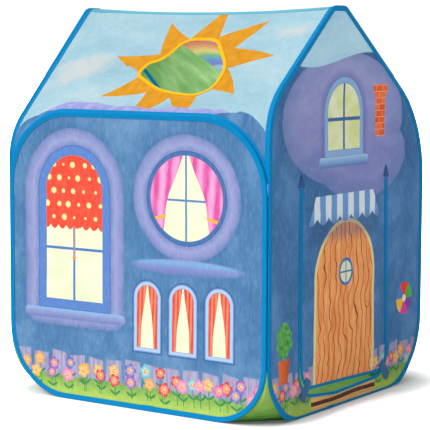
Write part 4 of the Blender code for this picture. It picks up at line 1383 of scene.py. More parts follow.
def artwork_back_roof(paper):
    x, y = paper.x, paper.y
    colour = sky(paper, 150)
    bow = paper.disc(x + 0.113, y - 0.230, 0.105)
    arcs = paper.ramp(bow / 0.12 + 0.5, ((0.0, "7d6bb8"), (0.2, "5b8fd0"), (0.42, "7fc074"),
                                             (0.6, "f3da62"), (0.8, "f0a050"), (1.0, "e0604a")))
    band = abs(bow) - 0.062
    colour = paper.paint(paper.inside(band, 0.010) * paper.inside(0.19 - y, 0.04) * 0.85, colour, arcs)
    uneven = (paper.cloud(0.10, 0.10, 152) - 0.5) * 0.04
    hill = paper.low(x + 0.170 + (y - 0.334) * 0.37, y - 0.075 + x * 0.1) - uneven
    colour = paper.lay(colour, hill, pasture(paper, 153), 0.003)
    return brushed(paper, colour, 155, share=0.04)


# Settings

def length_setting(name, description, metres):
    return bpy.props.FloatProperty(name=name, description=description, default=metres, unit="LENGTH")


class TentCloth(bpy.types.PropertyGroup):
    """How the cloth panels hang."""
    thickness: length_setting("Thickness", "Thickness of the cloth", 0.0005)
    spacing: length_setting("Mesh Spacing", "Distance between mesh points", 0.010)
    fold_depth: length_setting("Fold Depth", "Height of the soft folds", 0.0016)
    fold_length: length_setting("Fold Length", "Distance between soft folds", 0.11)
    crease_depth: length_setting("Crease Depth", "Height of the creases at the hoops' bends", 0.0011)
    crease_reach: length_setting("Crease Reach", "How far creases run from a bend", 0.13)


class TentEdges(bpy.types.PropertyGroup):
    """Bindings, tapes, webbing and thread."""
    leg: length_setting("Binding Leg", "Width of the flat legs of the hoops' bindings", 0.0105)
    tape_thickness: length_setting("Tape Thickness", "Thickness of bindings and tapes", 0.0007)
    leg_lift: length_setting("Leg Lift", "Distance of a leg off the cloth's middle", 0.0010)
    ripple: length_setting("Ripple", "Height of the small waves in sewn tape", 0.0008)
    ripple_size: length_setting("Ripple Size", "Distance between those waves", 0.030)
    trim_radius: length_setting("Trim Edge Radius", "Radius of the rolled edge of the narrow trims",
                                0.0013)
    trim_leg: length_setting("Door Trim Leg", "Width of the door's trims", 0.0068)
    window_leg: length_setting("Window Trim Leg", "Width of the window's trim", 0.0085)
    ridge_leg: length_setting("Ridge Tape Leg", "Width of the ridge tape on each slope", 0.0105)
    stitch_pitch: length_setting("Stitch Pitch", "Distance between stitches", 0.0042)
    stitch_length: length_setting("Stitch Length", "Length of one stitch", 0.0030)
    thread_radius: length_setting("Thread Radius", "Radius of the sewing thread", 0.00028)


def colour_setting(name, description, hex_colour):
    return bpy.props.FloatVectorProperty(name=name, description=description, subtype="COLOR", size=4,
                                         min=0, max=1, default=linear(hex_colour))


class TentColours(bpy.types.PropertyGroup):
    """Main colours of the tapes and trims."""
    tape: colour_setting("Binding", "Bright blue of the hoop bindings", "0089c4")
    tape_shade: colour_setting("Binding Shade", "Darker blue in the bindings' mottling", "0076ae")
    ridge: colour_setting("Ridge Tape", "Turquoise of the ridge tape", "6cb6ca")
    ridge_shade: colour_setting("Ridge Tape Shade", "Darker turquoise of the ridge tape", "58a8be")
    window: colour_setting("Window Trim", "Yellow of the window's trim", "ffc21c")
    window_shade: colour_setting("Window Trim Shade", "Darker yellow of the window's trim", "f5a90a")


class TentStage(bpy.types.PropertyGroup):
    """Camera and lights."""
    azimuth: bpy.props.FloatProperty(name="Azimuth", description="Angle of the camera round the tent",
                                     default=radians(34.556), subtype="ANGLE")
    elevation: bpy.props.FloatProperty(name="Elevation", description="Angle of the camera over level",
                                       default=radians(5.953), subtype="ANGLE")
    roll: bpy.props.FloatProperty(name="Roll", description="Turn of the camera about its view",
                                  default=radians(0.193), subtype="ANGLE")
    distance: length_setting("Distance", "Camera to the middle of the view", 4.5516)
    shift: length_setting("Aim Shift", "How far right of the tent's middle it aims", -0.0135)
    height: length_setting("Aim Height", "Height that the camera aims at", 0.462)
    lens: bpy.props.FloatProperty(name="Lens", description="Focal length on a 36 mm wide frame",
                                  default=140.958, min=1, subtype="DISTANCE_CAMERA")
    key: bpy.props.FloatProperty(name="Key Light",
                                 description="Strength of the soft light from the front left",
                                 default=2.6, min=0)
    fill: bpy.props.FloatProperty(name="Fill Light", description="Power of the light at the right",
                                  default=4.0, min=0, subtype="POWER")
    inner: bpy.props.FloatProperty(name="Inner Light",
                                   description="Power of the soft light that thin cloth lets in",
                                   default=8.0, min=0, subtype="POWER")
    surround: bpy.props.FloatProperty(name="Surround", description="Strength of the white surround",
                                      default=0.50, min=0)


GROUPS = {"tent_cloth": TentCloth, "tent_edges": TentEdges, "tent_colours": TentColours,
          "tent_stage": TentStage}
PANEL_CUTS = {}


def taut(seed, billow, half, anchors):
    """Relief of a panel that its hoop holds: a slow bow, soft folds, creases at the bends."""
    cloth = bpy.context.scene.tent_cloth

    def relief(flat, edge):
        fade = np.clip((edge - 0.010) / 0.055, 0, 1)
        fade = fade * fade * (3 - 2 * fade)
        bow = billow * (1 - (1 - np.clip((edge - 0.008) / half, 0, 1)) ** 2)
        folds = wave(flat, cloth.fold_length, seed) + 0.45 * wave(flat, cloth.fold_length * 0.42,
                                                                  seed + 1)
        creases = pulls(flat, anchors, cloth.crease_reach, 11, seed + 2)
        return bow + (folds * cloth.fold_depth + creases * cloth.crease_depth) * fade

    return relief


def cut_facts(piece, loops, sizes=None):
    """Keeps the flat size of a panel's cut for the cloth facts."""
    mesh = piece.data
    area = sum(polygon.area for polygon in mesh.polygons) / 2
    if sizes is None:
        sizes = loops[0].max(0) - loops[0].min(0)
    PANEL_CUTS[piece.name] = (float(sizes[0]), float(sizes[1]), area)


def attach(piece, body="tent"):
    """A finished piece moves with a body."""
    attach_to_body(piece, body)


def dress(piece, node, body="tent"):
    """A finished piece stands for its CAD node and moves with its body."""
    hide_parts(node)
    attach(piece, body)


# Operators

class TENT_OT_steel(bpy.types.Operator):
    """Finish the spring wires and their crimped tubes"""
    bl_idname = "tent.steel"
    bl_label = "Hoop Steel"

    def execute(self, context):
        for name in (*END_NAMES.values(), *SIDE_NAMES.values()):
            for part, finish in (("wire", wire_finish()), ("ferrule", crimp_finish())):
                frame["nodes"][name + "_hoop_" + part].material_slots[0].material = finish
        return {"FINISHED"}


class TENT_OT_walls(bpy.types.Operator):
    """Stretch the front and back wall cloth in their hoops"""
    bl_idname = "tent.walls"
    bl_label = "Walls"

    def execute(self, context):
        artwork = {-1: artwork_front_wall, 1: artwork_back_wall}
        for end, name in END_NAMES.items():
            loops = [wall_outline(end, 0.0025)]
            top = WALL_TOPS[end]
            anchors = [(side * (WALL_HALF - 0.05), z) for side in (-1, 1) for z in (0.05, top - 0.05)]
            piece = sheet(name + "_wall_cloth", loops, on_wall(end), end == 1,
                          taut(10 + end, -0.004, 0.30, anchors),
                          printed(name + "_wall_print", artwork[end]))
            cut_facts(piece, loops)
            dress(piece, name + "_wall_panel")
        return {"FINISHED"}


class TENT_OT_gables(bpy.types.Operator):
    """Stretch the gable cloth in its hoops, with the doorway in the right one"""
    bl_idname = "tent.gables"
    bl_label = "Gables"

    def execute(self, context):
        for side, name in SIDE_NAMES.items():
            loops = [gable_outline(side, 0.0025)]
            look = printed("left_gable_print", artwork_left_gable)
            if side == 1:
                loops.append(doorway_path(DOOR_TOP))
                look = printed("right_gable_print", artwork_gable)
            anchors = [(y, z) for y, z in ((-0.34, 0.05), (0.34, 0.05), (-0.35, EAVES[side, -1][0]),
                                           (0.34, EAVES[side, 1][0] - 0.05), (PEAKS[side], 0.99))]
            piece = sheet(name + "_gable_cloth", loops, on_gable(side), side == -1,
                          taut(20 + side, -0.004, 0.30, anchors), look)
            cut_facts(piece, loops)
            dress(piece, name + "_gable_panel")
        return {"FINISHED"}


class TENT_OT_roof(bpy.types.Operator):
    """Draw the two roof slopes out to the gables, with the window in the front one"""
    bl_idname = "tent.roof"
    bl_label = "Roof"

    def execute(self, context):
        artwork = {-1: artwork_front_roof, 1: artwork_back_roof}
        for end, name in END_NAMES.items():
            slope = SLOPES[end]
            loops = [slope.edge()]
            if end == -1:
                loops.append(window_outline())
            anchors = [(side * 0.36, v) for side in (-1, 1) for v in (0.06, slope.span - 0.03)]
            piece = sheet(name + "_roof_cloth", loops, slope.place, end == 1,
                          taut(30 + end, -0.005, 0.16, anchors),
                          printed(name + "_roof_print", artwork[end]))
            cut_facts(piece, loops, (2 * ROOF_END, float(slope.lengths.max())))
            dress(piece, "roof_%s_panel" % name)
        return {"FINISHED"}


def gusset_ends(angle, radius):
    """Ends of a gusset's level line at one angle of the bends, before mirroring."""
    drop = radius * (1 - cos(angle))
    z = HOOP_BASE + radius * (1 - sin(angle)) - (BEAD_RADIUS - 0.0006) * (1 - cos(angle))
    return (Vector((WALL_HALF - drop + GUSSET_TUCK, WALL_PLANE - GUSSET_TUCK, z)),
            Vector((GABLE_PLANE - GUSSET_TUCK, GABLE_HALF - drop + GUSSET_TUCK, z)))


class TENT_OT_floor(bpy.types.Operator):
    """Lay the floor cloth and sew in the four corner gussets"""
    bl_idname = "tent.floor"
    bl_label = "Floor and Gussets"

    def execute(self, context):
        half_x = GABLE_PLANE - 0.0020
        half_y = WALL_PLANE - 0.0020
        corners = []
        for sx, sy in ((1, 1), (-1, 1), (-1, -1), (1, -1)):
            diagonal = GABLE_PLANE + WALL_PLANE - HOOP_STEP - FLOOR_RADII[sy, sx] - 0.0004
            quarter = ((half_x, diagonal - half_x), (diagonal - half_y, half_y))
            pair = quarter if sx == sy else quarter[::-1]
            corners += [(sx * x, sy * y) for x, y in pair]

        def lie(flat, edge):
            fade = np.clip(edge / 0.06, 0, 1)
            return np.abs(wave(flat, 0.14, 41) + 0.4 * wave(flat, 0.05, 42)) * fade * 0.0022

        loops = [np.array(corners)]
        piece = sheet("floor_cloth", loops, on_floor, False, lie, floor_finish(), 0.014)
        cut_facts(piece, loops)
        dress(piece, "floor_panel")
        for end, end_name in END_NAMES.items():
            for side, side_name in SIDE_NAMES.items():
                self.gusset("gusset_%s_%s" % (end_name, side_name), end, side)
        return {"FINISHED"}

    def gusset(self, node, end, side, down=40, across=24):
        """A gusset that swells outwards, with one soft fold across its lower part."""
        radius = FLOOR_RADII[end, side]
        rows, flat = [], []
        for angle in np.linspace(GUSSET_FIRST_ANGLE, pi / 2, down):
            wall_end, gable_end = gusset_ends(angle, radius)
            row = []
            for share in np.linspace(0, 1, across):
                point = wall_end.lerp(gable_end, share)
                round_share = sin(pi * share)
                swell = GUSSET_BULGE * round_share * sin(2 * angle)
                crease = angle - 1.10 - 0.10 * sin(share * 5 + end + side)
                fold = (0.0030 * np.exp(-(crease / 0.05) ** 2)
                        - 0.0022 * np.exp(-((crease + 0.09) / 0.05) ** 2))
                ripple = 0.0008 * sin(share * 17 + angle * 5) * sin(2 * angle)
                point += Vector((1, 1, 0)) * (swell + (fold + ripple) * round_share) / sqrt(2)
                row.append((side * point.x, end * point.y, point.z))
            rows.append(row if side * end > 0 else row[::-1])
            width = (gable_end - wall_end).length
            flat.append([(width * (share - 0.5), angle * radius) for share in np.linspace(0, 1,
                                                                                          across)])
        piece = strip(node + "_cloth", rows, flat, gusset_finish_with_painted_shade())
        cut_facts(piece, [], (width, radius * (pi / 2 - GUSSET_FIRST_ANGLE)))
        dress(piece, node)


def hoop_sets():
    """Each hoop's name, path and place."""
    for end, name in END_NAMES.items():
        yield name, partial(wall_outline, end), on_wall(end)
    for side, name in SIDE_NAMES.items():
        yield name, partial(gable_outline, side), narrow_hem(on_gable(side))


def narrow_hem(place):
    """The same place, with what lies just over the floor drawn down towards it."""
    def drawn_down(p):
        over = np.clip((p[:, 1] - HOOP_BASE) / HEM_LEG, 0, 1)
        below = np.clip((HEM_REACH - p[:, 1]) / (HEM_REACH - HEM_FULL), 0, 1)
        return place(np.column_stack((p[:, 0], p[:, 1] - HEM_DROP * over * below, p[:, 2])))

    return drawn_down


def roof_edge(slope, kind):
    """Points, inward directions and normals along one edge of a slope."""
    if kind == "foot":
        u = slope.xs
        v = np.zeros(len(u))
    else:
        v = np.linspace(0, slope.span, 161)
        u = np.full(len(v), ROOF_END * kind)
    points = slope.middle(u, v)
    normals = slope.normal(u, v)
    tangents = np.gradient(points, axis=0) * (1 if kind == "foot" else kind)
    inward = np.cross(normals, tangents) * -slope.end
    inward /= np.linalg.norm(inward, axis=1)[:, None]
    return points, inward, normals, np.column_stack((u, v))


def over_bead(slope, points, radius):
    """Rows that carry a roof tape forward over the wall hoop's bead."""
    x, z = points[:, 0], points[:, 2]
    across = np.clip(x, -(WALL_HALF - WALL_TOP_RADIUS), WALL_HALF - WALL_TOP_RADIUS)
    up = np.column_stack((x - across, np.zeros(len(x)), z - (WALL_TOPS[slope.end] - WALL_TOP_RADIUS)))
    up /= np.linalg.norm(up, axis=1)[:, None]
    middle = points - up * SEWN_OFFSET
    middle[:, 1] = slope.end * WALL_PLANE
    forward = np.array((0, slope.end, 0))
    bends = zip(np.radians((72, 55, 38, 20)), (-0.0012, -0.0004, 0.0, 0.0))
    return [middle + (up * cos(angle) + forward * sin(angle)) * (radius + rise) for angle,
            rise in bends]


def roof_tape(name, slope, kind, width, lift, look, seed):
    """A strip that lies on a slope along one of its edges and laps over the hoop's bead."""
    points, inward, normals, flat = roof_edge(slope, kind)
    others = [roof_edge(slope, other)[0] for other in ("foot", -1, 1) if other != kind]
    table = np.column_stack((points, inward, normals, flat))
    table = evenly(table, 0.009, False)
    points, inward, normals, flat = table[:, :3], table[:, 3:6], table[:, 6:9], table[:, 9:]
    room = np.linalg.norm(points[:, None, :] - np.vstack(others)[None, :, :], axis=2).min(1)
    reach = np.minimum(width, room * 0.5 + 0.0006)
    small = wave(flat, 0.03, seed) * 0.0002
    rows = over_bead(slope, points, BEAD_RADIUS + 0.0003) if kind == "foot" else [
        points - inward * 0.0030 + normals * (lift + 0.0008)]
    for share in np.linspace(0, 1, 4):
        rows.append(points + inward * (reach * share)[:, None] + normals * (lift + small)[:, None])
    if slope.end * (1 if kind in ("foot", 1) else -1) < 0:
        rows = rows[::-1]
    return strip(name, rows, [flat] * len(rows), look, 0.0006)


class TENT_OT_bindings(bpy.types.Operator):
    """Fold the bright blue bindings round the four hoops and sew their tapes on the roof"""
    bl_idname = "tent.bindings"
    bl_label = "Hoop Bindings"

    def execute(self, context):
        look = tape_finish()
        leg = context.scene.tent_edges.leg
        for i, (name, outline, place) in enumerate(hoop_sets()):
            path = evenly(outline(), 0.008, True)
            meshes = [(folded_tape([(path, True)], BEAD_RADIUS - 0.0001, leg, -1, look, i), place)]
            if name in ("front", "right"):
                start = 0.035 if name == "front" else -0.11
                sleeve = np.column_stack((np.linspace(start, start + 0.035, 9), np.full(9, HOOP_BASE)))
                meshes.append((folded_tape([(sleeve, False)], BEAD_RADIUS + 0.0003, leg + 0.0012,
                                           -1, look, i + 8), place))
            piece = settled(name + "_hoop_tape", meshes, look)
            dress(piece, name + "_hoop_binding")
        for end, name in END_NAMES.items():
            slope = SLOPES[end]
            for kind, label, width in ROOF_TAPES:
                piece = roof_tape("%s_roof_%s_tape" % (name, label), slope, kind, width, ROOF_TAPE_LIFT,
                                  look, 50 + end)
                attach(piece)
        for end, end_name in END_NAMES.items():
            for side, side_name in SIDE_NAMES.items():
                self.joining_tape("joining_tape_%s_%s" % (end_name, side_name), end, side, look)
        return {"FINISHED"}

    def joining_tape(self, node, end, side, look):
        low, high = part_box(node)
        middle = (low + high) / 2
        inward = Vector((-side, -end, 0)).normalized()
        run = Vector((side, -end, 0)).normalized() * side * end
        rows = []
        flat = []
        for z in np.linspace(low.z - JOINING_OVERLAP, high.z + JOINING_OVERLAP, 40):
            row = []
            for t in np.linspace(-JOINING_HALF, JOINING_HALF, 5):
                wave_lift = 0.0003 * noise.noise(Vector((z * 30, t * 200, end + side * 2)))
                point = Vector((middle.x, middle.y, z)) + run * t + inward * wave_lift
                row.append(tuple(point))
            rows.append(row)
            flat.append([(t, z) for t in np.linspace(-JOINING_HALF, JOINING_HALF, 5)])
        piece = strip(node + "_band", rows, flat, look, 0.0008)
        dress(piece, node)


class TENT_OT_window(bpy.types.Operator):
    """Bind the roof window's edge in yellow tape"""
    bl_idname = "tent.window"
    bl_label = "Window Trim"

    def execute(self, context):
        edges = context.scene.tent_edges
        path = evenly(window_outline(), 0.004, True)
        mesh = folded_tape([(path, True)], edges.trim_radius, edges.window_leg, 1,
                           window_tape_finish(), 61, 0.8)
        piece = settled("window_tape", [(mesh, FRONT_SLOPE.place)], window_tape_finish())
        dress(piece, "roof_window_trim")
        return {"FINISHED"}


class TENT_OT_ridge(bpy.types.Operator):
    """Lay the turquoise tape over the seam of the two slopes"""
    bl_idname = "tent.ridge"
    bl_label = "Ridge Tape"

    def execute(self, context):
        leg = context.scene.tent_edges.ridge_leg
        xs = np.linspace(-ROOF_END, ROOF_END, 121)
        beyond = np.abs(xs) - WALL_HALF + WALL_TOP_RADIUS
        nearness = np.clip(beyond / (ROOF_END - WALL_HALF + WALL_TOP_RADIUS), 0, 1)
        width = leg + nearness ** 2 * PEAK_WIDTH * 0.45
        rows = []
        flat = []
        for reach in (1.0, 0.66, 0.33, 0.06, -0.06, -0.33, -0.66, -1.0):
            slope = FRONT_SLOPE if reach > 0 else BACK_SLOPE
            v = slope.span - abs(reach) * width * slope.span / np.interp(xs, slope.xs, slope.lengths)
            lift = 0.0011 - 0.0006 * abs(reach)
            ripples = wave(np.column_stack((xs, v + reach)), 0.03, 71) * 0.0003
            places = np.column_stack((xs, v, lift + ripples))
            rows.append(slope.place(places))
            flat.append(np.column_stack((xs, v)))
        piece = strip("ridge_band", rows, flat, ridge_finish(), 0.0006)
        dress(piece, "ridge_tape")
        return {"FINISHED"}


def blended_to_door(piece):
    """The piece's transform is baked into its mesh."""
    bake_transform(piece)


class TENT_OT_door(bpy.types.Operator):
    """Hang the door flap, bind it and its doorway, and patch the slits' tops"""
    bl_idname = "tent.door"
    bl_label = "Door Flap"

    def execute(self, context):
        edges = context.scene.tent_edges
        place = on_gable(1)
        loops = [flap_path(DOOR_TOP)]
        flap = sheet("door_flap_cloth", loops, place, False,
                     taut(81, 0.004, 0.20, [(-0.20, 0.10), (0.16, 0.09), (-0.23, 0.56), (0.17, 0.56)]),
                     printed("right_gable_print", artwork_gable))
        cut_facts(flap, loops)
        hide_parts("door_flap")
        blended_to_door(flap)

        look = tape_finish()
        path = evenly(flap_path(DOOR_TOP - TRIM_TOP_GAP), 0.005, False)
        mesh = folded_tape([(path, False)], edges.trim_radius, edges.trim_leg, -1, look, 82, 0.9)
        trim = settled("door_flap_tape", [(mesh, place)], look)
        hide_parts("door_flap_trim")
        blended_to_door(trim)

        path = evenly(doorway_path(DOOR_TOP - TRIM_TOP_GAP), 0.005, False)
        mesh = folded_tape([(path, False)], edges.trim_radius, edges.trim_leg, 1, look, 83, 0.9)
        dress(settled("doorway_tape", [(mesh, place)], look), "doorway_trim")

        for name in END_NAMES.values():
            low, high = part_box("slit_patch_" + name)
            middle = (low.y + high.y) / 2
            corners = ((low.y, low.z - 0.004), (high.y, low.z - 0.004), (middle, high.z))
            loops = [rounded(corners, (0.0015, 0.0015, 0.0015), steps=4)]
            patch = sheet("slit_patch_%s_cloth" % name, loops, place, False,
                          lambda flat, edge: np.full(len(flat), 0.0018), patch_finish(), 0.004)
            cut_facts(patch, loops)
            dress(patch, "slit_patch_" + name)
        return {"FINISHED"}


def webbing_finish():
    """Blue webbing with ribs across its run and a lighter edge thread."""
    found = bpy.data.materials.get("steel_blue_webbing")
    if found:
        return found
    made, shader = new_finish("steel_blue_webbing", 0.8, sheen=0.2)
    paper = Paper(made.node_tree)
    ribs = paper.math("SINE", paper.x * (2 * pi / 0.0016))
    rows = paper.math("SINE", paper.y * (2 * pi / 0.0022))
    mottled = paper.cloud(0.004, 0.004, 5)
    body = paper.paint(mottled, "245a8c", "36709f")
    body = paper.paint(ribs * 0.12 + 0.12, body, "5c8fb8")
    edge = paper.inside(0.0118 - abs(paper.y), 0.0012)
    paper.feed(shader.inputs["Base Color"], paper.paint(edge * 0.6, body, "5c93c0"))
    raised(paper.tree, shader, ribs * 0.00012 + rows * 0.00006)
    return made


def grip_finish():
    return plain_textile("hook_and_loop_pad", linear("2c3947"), linear("4a5a6c"), 0.95, size=0.002,
                         bump_size=0.0005, depth=0.0006)


class TENT_OT_straps(bpy.types.Operator):
    """Sew the two webbing straps over the flap's lower corners"""
    bl_idname = "tent.straps"
    bl_label = "Door Straps"

    def execute(self, context):
        for name in END_NAMES.values():
            joint = [j for j in frame["joints"] if j["name"] == "strap_%s_peel" % name][0]
            self.strap(name, Vector(joint["pos_m"]), Vector(joint["axis"]))
        return {"FINISHED"}

    def strap(self, name, hinge, axis):
        forward = Vector((0, -axis.z, axis.y))
        out = Vector((1, 0, 0))
        across = out.cross(forward)
        rows = []
        flat = []
        for s in np.linspace(-STRAP_OVERLAP, STRAP_LENGTH, 25):
            row = []
            rise = 0.0030 - 0.0014 * max(0.0, 1 - (s + STRAP_OVERLAP) / 0.014) ** 2
            rise += 0.0003 * sin(s * 150)
            for t in np.linspace(-STRAP_HALF, STRAP_HALF, 7):
                curl = 0.0002 * cos(t * 200)
                point = hinge + forward * s + across * t
                row.append((GABLE_PLANE + rise + curl, point.y, point.z))
            rows.append(row)
            flat.append([(s, t) for t in np.linspace(-STRAP_HALF, STRAP_HALF, 7)])
        strap = strip("door_strap_%s_webbing" % name, rows, flat, webbing_finish(), 0.0009)
        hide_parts("door_strap_" + name)
        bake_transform(strap)
        for kind, body in (("hook", "strap_" + name), ("loop", "tent")):
            node = "%s_patch_%s" % (kind, name)
            low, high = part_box(node)
            middle = (low + high) / 2
            rows = []
            flat = []
            widths = np.linspace(-PAD_HALF_WIDTH, PAD_HALF_WIDTH, 7)
            for s in np.linspace(-PAD_HALF_LENGTH, PAD_HALF_LENGTH, 5):
                rows.append([tuple(middle + forward * s + across * t) for t in widths])
                flat.append([(s, t) for t in widths])
            dress(strip(node + "_pad", rows, flat, grip_finish(), 0.0005), node, body)


class TENT_OT_thread(bpy.types.Operator):
    """Sew rows of stitches along the hoop bindings, the door's trims and the window's trim"""
    bl_idname = "tent.thread"
    bl_label = "Stitches"

    def execute(self, context):
        edges = context.scene.tent_edges
        look = thread_finish()
        lift = edges.leg_lift + edges.tape_thickness / 2
        for name, outline, place in hoop_sets():
            mesh = stitches([(outline(edges.leg - 0.0017), True)], lift + 0.0003, look)
            piece = settled(name + "_hoop_stitches", [(mesh, place)], look)
            attach(piece)

        place = on_gable(1)
        mesh = stitches([(doorway_path(DOOR_TOP - TRIM_TOP_GAP, -(edges.trim_leg - 0.0014)), False)],
                        lift, look)
        piece = settled("doorway_stitches", [(mesh, place)], look)
        attach(piece)
        mesh = stitches([(flap_path(DOOR_TOP - TRIM_TOP_GAP, edges.trim_leg - 0.0014), False)],
                        lift, look)
        piece = settled("door_flap_stitches", [(mesh, place)], look)
        blended_to_door(piece)

        thread = yellow_thread_finish()
        mesh = stitches([(window_outline(-(edges.window_leg - 0.0016)), True)], lift, thread)
        piece = settled("window_stitches", [(mesh, FRONT_SLOPE.place)], thread)
        attach(piece)
        return {"FINISHED"}


class TENT_OT_facts(bpy.types.Operator):
    """Look up the kept flat size of every sheet of cloth"""
    bl_idname = "tent.facts"
    bl_label = "Cloth Facts"

    def execute(self, context):
        for end, name in END_NAMES.items():
            self.state(name + "_wall_cloth", [name + "_hoop_tape"], [])
            with_roof = ["%s_roof_%s_tape" % (name, label) for label in ("foot", "left", "right")]
            if end == -1:
                with_roof += ["window_tape", "window_stitches"]
            self.state(name + "_roof_cloth", ["left_hoop_tape", "right_hoop_tape", name + "_hoop_tape"],
                       with_roof)
        for name in SIDE_NAMES.values():
            extra = ["doorway_tape", "doorway_stitches"] if name == "right" else []
            self.state(name + "_gable_cloth", [name + "_hoop_tape"], extra)
        self.state("door_flap_cloth", ["right_gable_cloth"], ["door_flap_tape", "door_flap_stitches"])
        for name in END_NAMES.values():
            self.state("slit_patch_%s_cloth" % name, ["right_gable_cloth"], [])
        hoops = [name + "_hoop_tape" for name in (*END_NAMES.values(), *SIDE_NAMES.values())]
        self.state("floor_cloth", hoops, [])
        for end in END_NAMES.values():
            for side in SIDE_NAMES.values():
                self.state("gusset_%s_%s_cloth" % (end, side),
                           [end + "_hoop_tape", side + "_hoop_tape"], [])
        return {"FINISHED"}

    def state(self, name, rests_on, with_pieces):
        width, length, area = PANEL_CUTS[name]


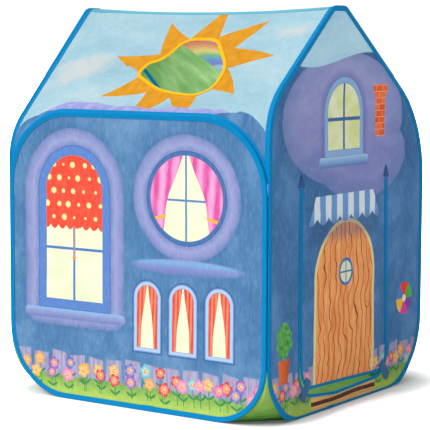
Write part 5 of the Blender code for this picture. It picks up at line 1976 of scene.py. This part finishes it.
class TENT_OT_stage(bpy.types.Operator):
    """Set the pale floor with its painted contact shadow, the soft lights and the camera"""
    bl_idname = "tent.stage"
    bl_label = "Stage"

    def execute(self, context):
        stage = context.scene.tent_stage
        scene = context.scene
        self.floor()
        self.surround(scene, stage)
        key = self.light("key_light", "SUN", (-1.6, -3.3, 3.7), stage.key)
        key.data.angle = radians(35)
        fill = self.light("fill_light", "AREA", (3.6, 0.4, 1.6), stage.fill)
        fill.data.shape = "DISK"
        fill.data.size = 2.2
        inner = self.light("inner_light", "POINT", (0, 0, 0.42), stage.inner)
        inner.data.shadow_soft_size = 0.15
        self.camera(scene, stage)
        scene.view_settings.view_transform = "Standard"
        return {"FINISHED"}

    def floor(self):
        bm = bmesh.new()
        bmesh.ops.create_circle(bm, cap_ends=True, segments=96, radius=40)
        mesh = bpy.data.meshes.new("studio_floor")
        bm.to_mesh(mesh)
        bm.free()
        made, shader = new_finish("pale_floor_painted_contact_shadow", 0.9)
        shader.inputs["Base Color"].default_value = (0.90, 0.90, 0.90, 1)
        shader.inputs["Specular IOR Level"].default_value = 0.0
        nodes, links = made.node_tree.nodes, made.node_tree.links
        lift = nodes.new("ShaderNodeBsdfDiffuse")
        # Painted contact shadow: ambient occlusion, raised to the fourth power, darkens the floor near
        # the tent, for camera rays only
        painted_contact_shadow = nodes.new("ShaderNodeAmbientOcclusion")
        painted_contact_shadow.samples = 16
        painted_contact_shadow.inputs["Distance"].default_value = 0.13
        painted_contact_shadow.inputs["Color"].default_value = (1.21, 1.21, 1.21, 1)
        found = painted_contact_shadow.outputs["Color"]
        for _ in range(2):
            squared = nodes.new("ShaderNodeVectorMath")
            squared.operation = "MULTIPLY"
            for socket in squared.inputs[:2]:
                links.new(found, socket)
            found = squared.outputs[0]
        links.new(found, lift.inputs[0])
        bright = nodes.new("ShaderNodeAddShader")
        links.new(shader.outputs[0], bright.inputs[0])
        links.new(lift.outputs[0], bright.inputs[1])
        veil = nodes.new("ShaderNodeEmission")
        veil.inputs["Strength"].default_value = 0.07
        veiled = nodes.new("ShaderNodeAddShader")
        links.new(bright.outputs[0], veiled.inputs[0])
        links.new(veil.outputs[0], veiled.inputs[1])
        seen = nodes.new("ShaderNodeLightPath")
        mix = nodes.new("ShaderNodeMixShader")
        links.new(seen.outputs["Is Camera Ray"], mix.inputs[0])
        links.new(shader.outputs[0], mix.inputs[1])
        links.new(veiled.outputs[0], mix.inputs[2])
        links.new(mix.outputs[0], nodes["Material Output"].inputs[0])
        mesh.materials.append(made)
        piece = bpy.data.objects.new("studio_floor", mesh)
        bpy.context.scene.collection.objects.link(piece)

    def surround(self, scene, stage):
        """A white surround that lights softly and shows pure white behind the tent."""
        world = scene.world or bpy.data.worlds.new("studio")
        scene.world = world
        world.use_nodes = True
        nodes = world.node_tree.nodes
        soft = [n for n in nodes if n.type == "BACKGROUND"][0]
        output = [n for n in nodes if n.type == "OUTPUT_WORLD"][0]
        soft.inputs[0].default_value = (1, 1, 1, 1)
        soft.inputs[1].default_value = stage.surround
        white = nodes.new("ShaderNodeBackground")
        white.inputs[0].default_value = (1, 1, 1, 1)
        white.inputs[1].default_value = 1.05
        seen = nodes.new("ShaderNodeLightPath")
        mix = nodes.new("ShaderNodeMixShader")
        links = world.node_tree.links
        links.new(seen.outputs["Is Camera Ray"], mix.inputs[0])
        links.new(soft.outputs[0], mix.inputs[1])
        links.new(white.outputs[0], mix.inputs[2])
        links.new(mix.outputs[0], output.inputs[0])

    def light(self, name, kind, place, power):
        data = bpy.data.lights.new(name, kind)
        data.energy = power
        lamp = bpy.data.objects.new(name, data)
        bpy.context.scene.collection.objects.link(lamp)
        lamp.location = place
        aim = Vector((0, 0, 0.45)) - Vector(place)
        lamp.rotation_euler = aim.to_track_quat("-Z", "Y").to_euler()
        return lamp

    def camera(self, scene, stage):
        data = bpy.data.cameras.new("camera")
        data.sensor_width = 36
        data.sensor_height = 36
        data.lens = stage.lens
        camera = bpy.data.objects.new("camera", data)
        scene.collection.objects.link(camera)
        a, e = stage.azimuth, stage.elevation
        back = Vector((sin(a) * cos(e), -cos(a) * cos(e), sin(e)))
        right = Vector((cos(a), sin(a), 0))
        aim = Vector((0, 0, stage.height)) + right * stage.shift
        camera.location = aim + back * stage.distance
        turn = back.to_track_quat("Z", "Y").to_matrix() @ Matrix.Rotation(stage.roll, 3, "Z")
        camera.rotation_euler = turn.to_euler()
        scene.camera = camera


OPERATORS = (TENT_OT_steel, TENT_OT_walls, TENT_OT_gables, TENT_OT_roof, TENT_OT_floor,
             TENT_OT_bindings, TENT_OT_window, TENT_OT_ridge, TENT_OT_door, TENT_OT_straps,
             TENT_OT_thread, TENT_OT_facts, TENT_OT_stage)


class TENT_PT_panel(bpy.types.Panel):
    """Lists the tent's pieces in the order they are made"""
    bl_idname = "TENT_PT_panel"
    bl_label = "Play House Tent"
    bl_space_type = "VIEW_3D"
    bl_region_type = "UI"
    bl_category = "Play Tent"

    def draw(self, context):
        for group, kind in GROUPS.items():
            settings = getattr(context.scene, group)
            box = self.layout.box()
            for prop in kind.__annotations__:
                box.prop(settings, prop)
        for kind in OPERATORS:
            self.layout.operator(kind.bl_idname)


def register():
    for kind in (*GROUPS.values(), *OPERATORS, TENT_PT_panel):
        bpy.utils.register_class(kind)
    for group, kind in GROUPS.items():
        setattr(bpy.types.Scene, group, bpy.props.PointerProperty(type=kind))


def unregister():
    for group in GROUPS:
        delattr(bpy.types.Scene, group)
    for kind in (TENT_PT_panel, *reversed(OPERATORS), *GROUPS.values()):
        bpy.utils.unregister_class(kind)


def main():
    register()
    for kind in OPERATORS:
        area, name = kind.bl_idname.split(".")
        getattr(getattr(bpy.ops, area), name)()


if __name__ == "__main__":
    main()
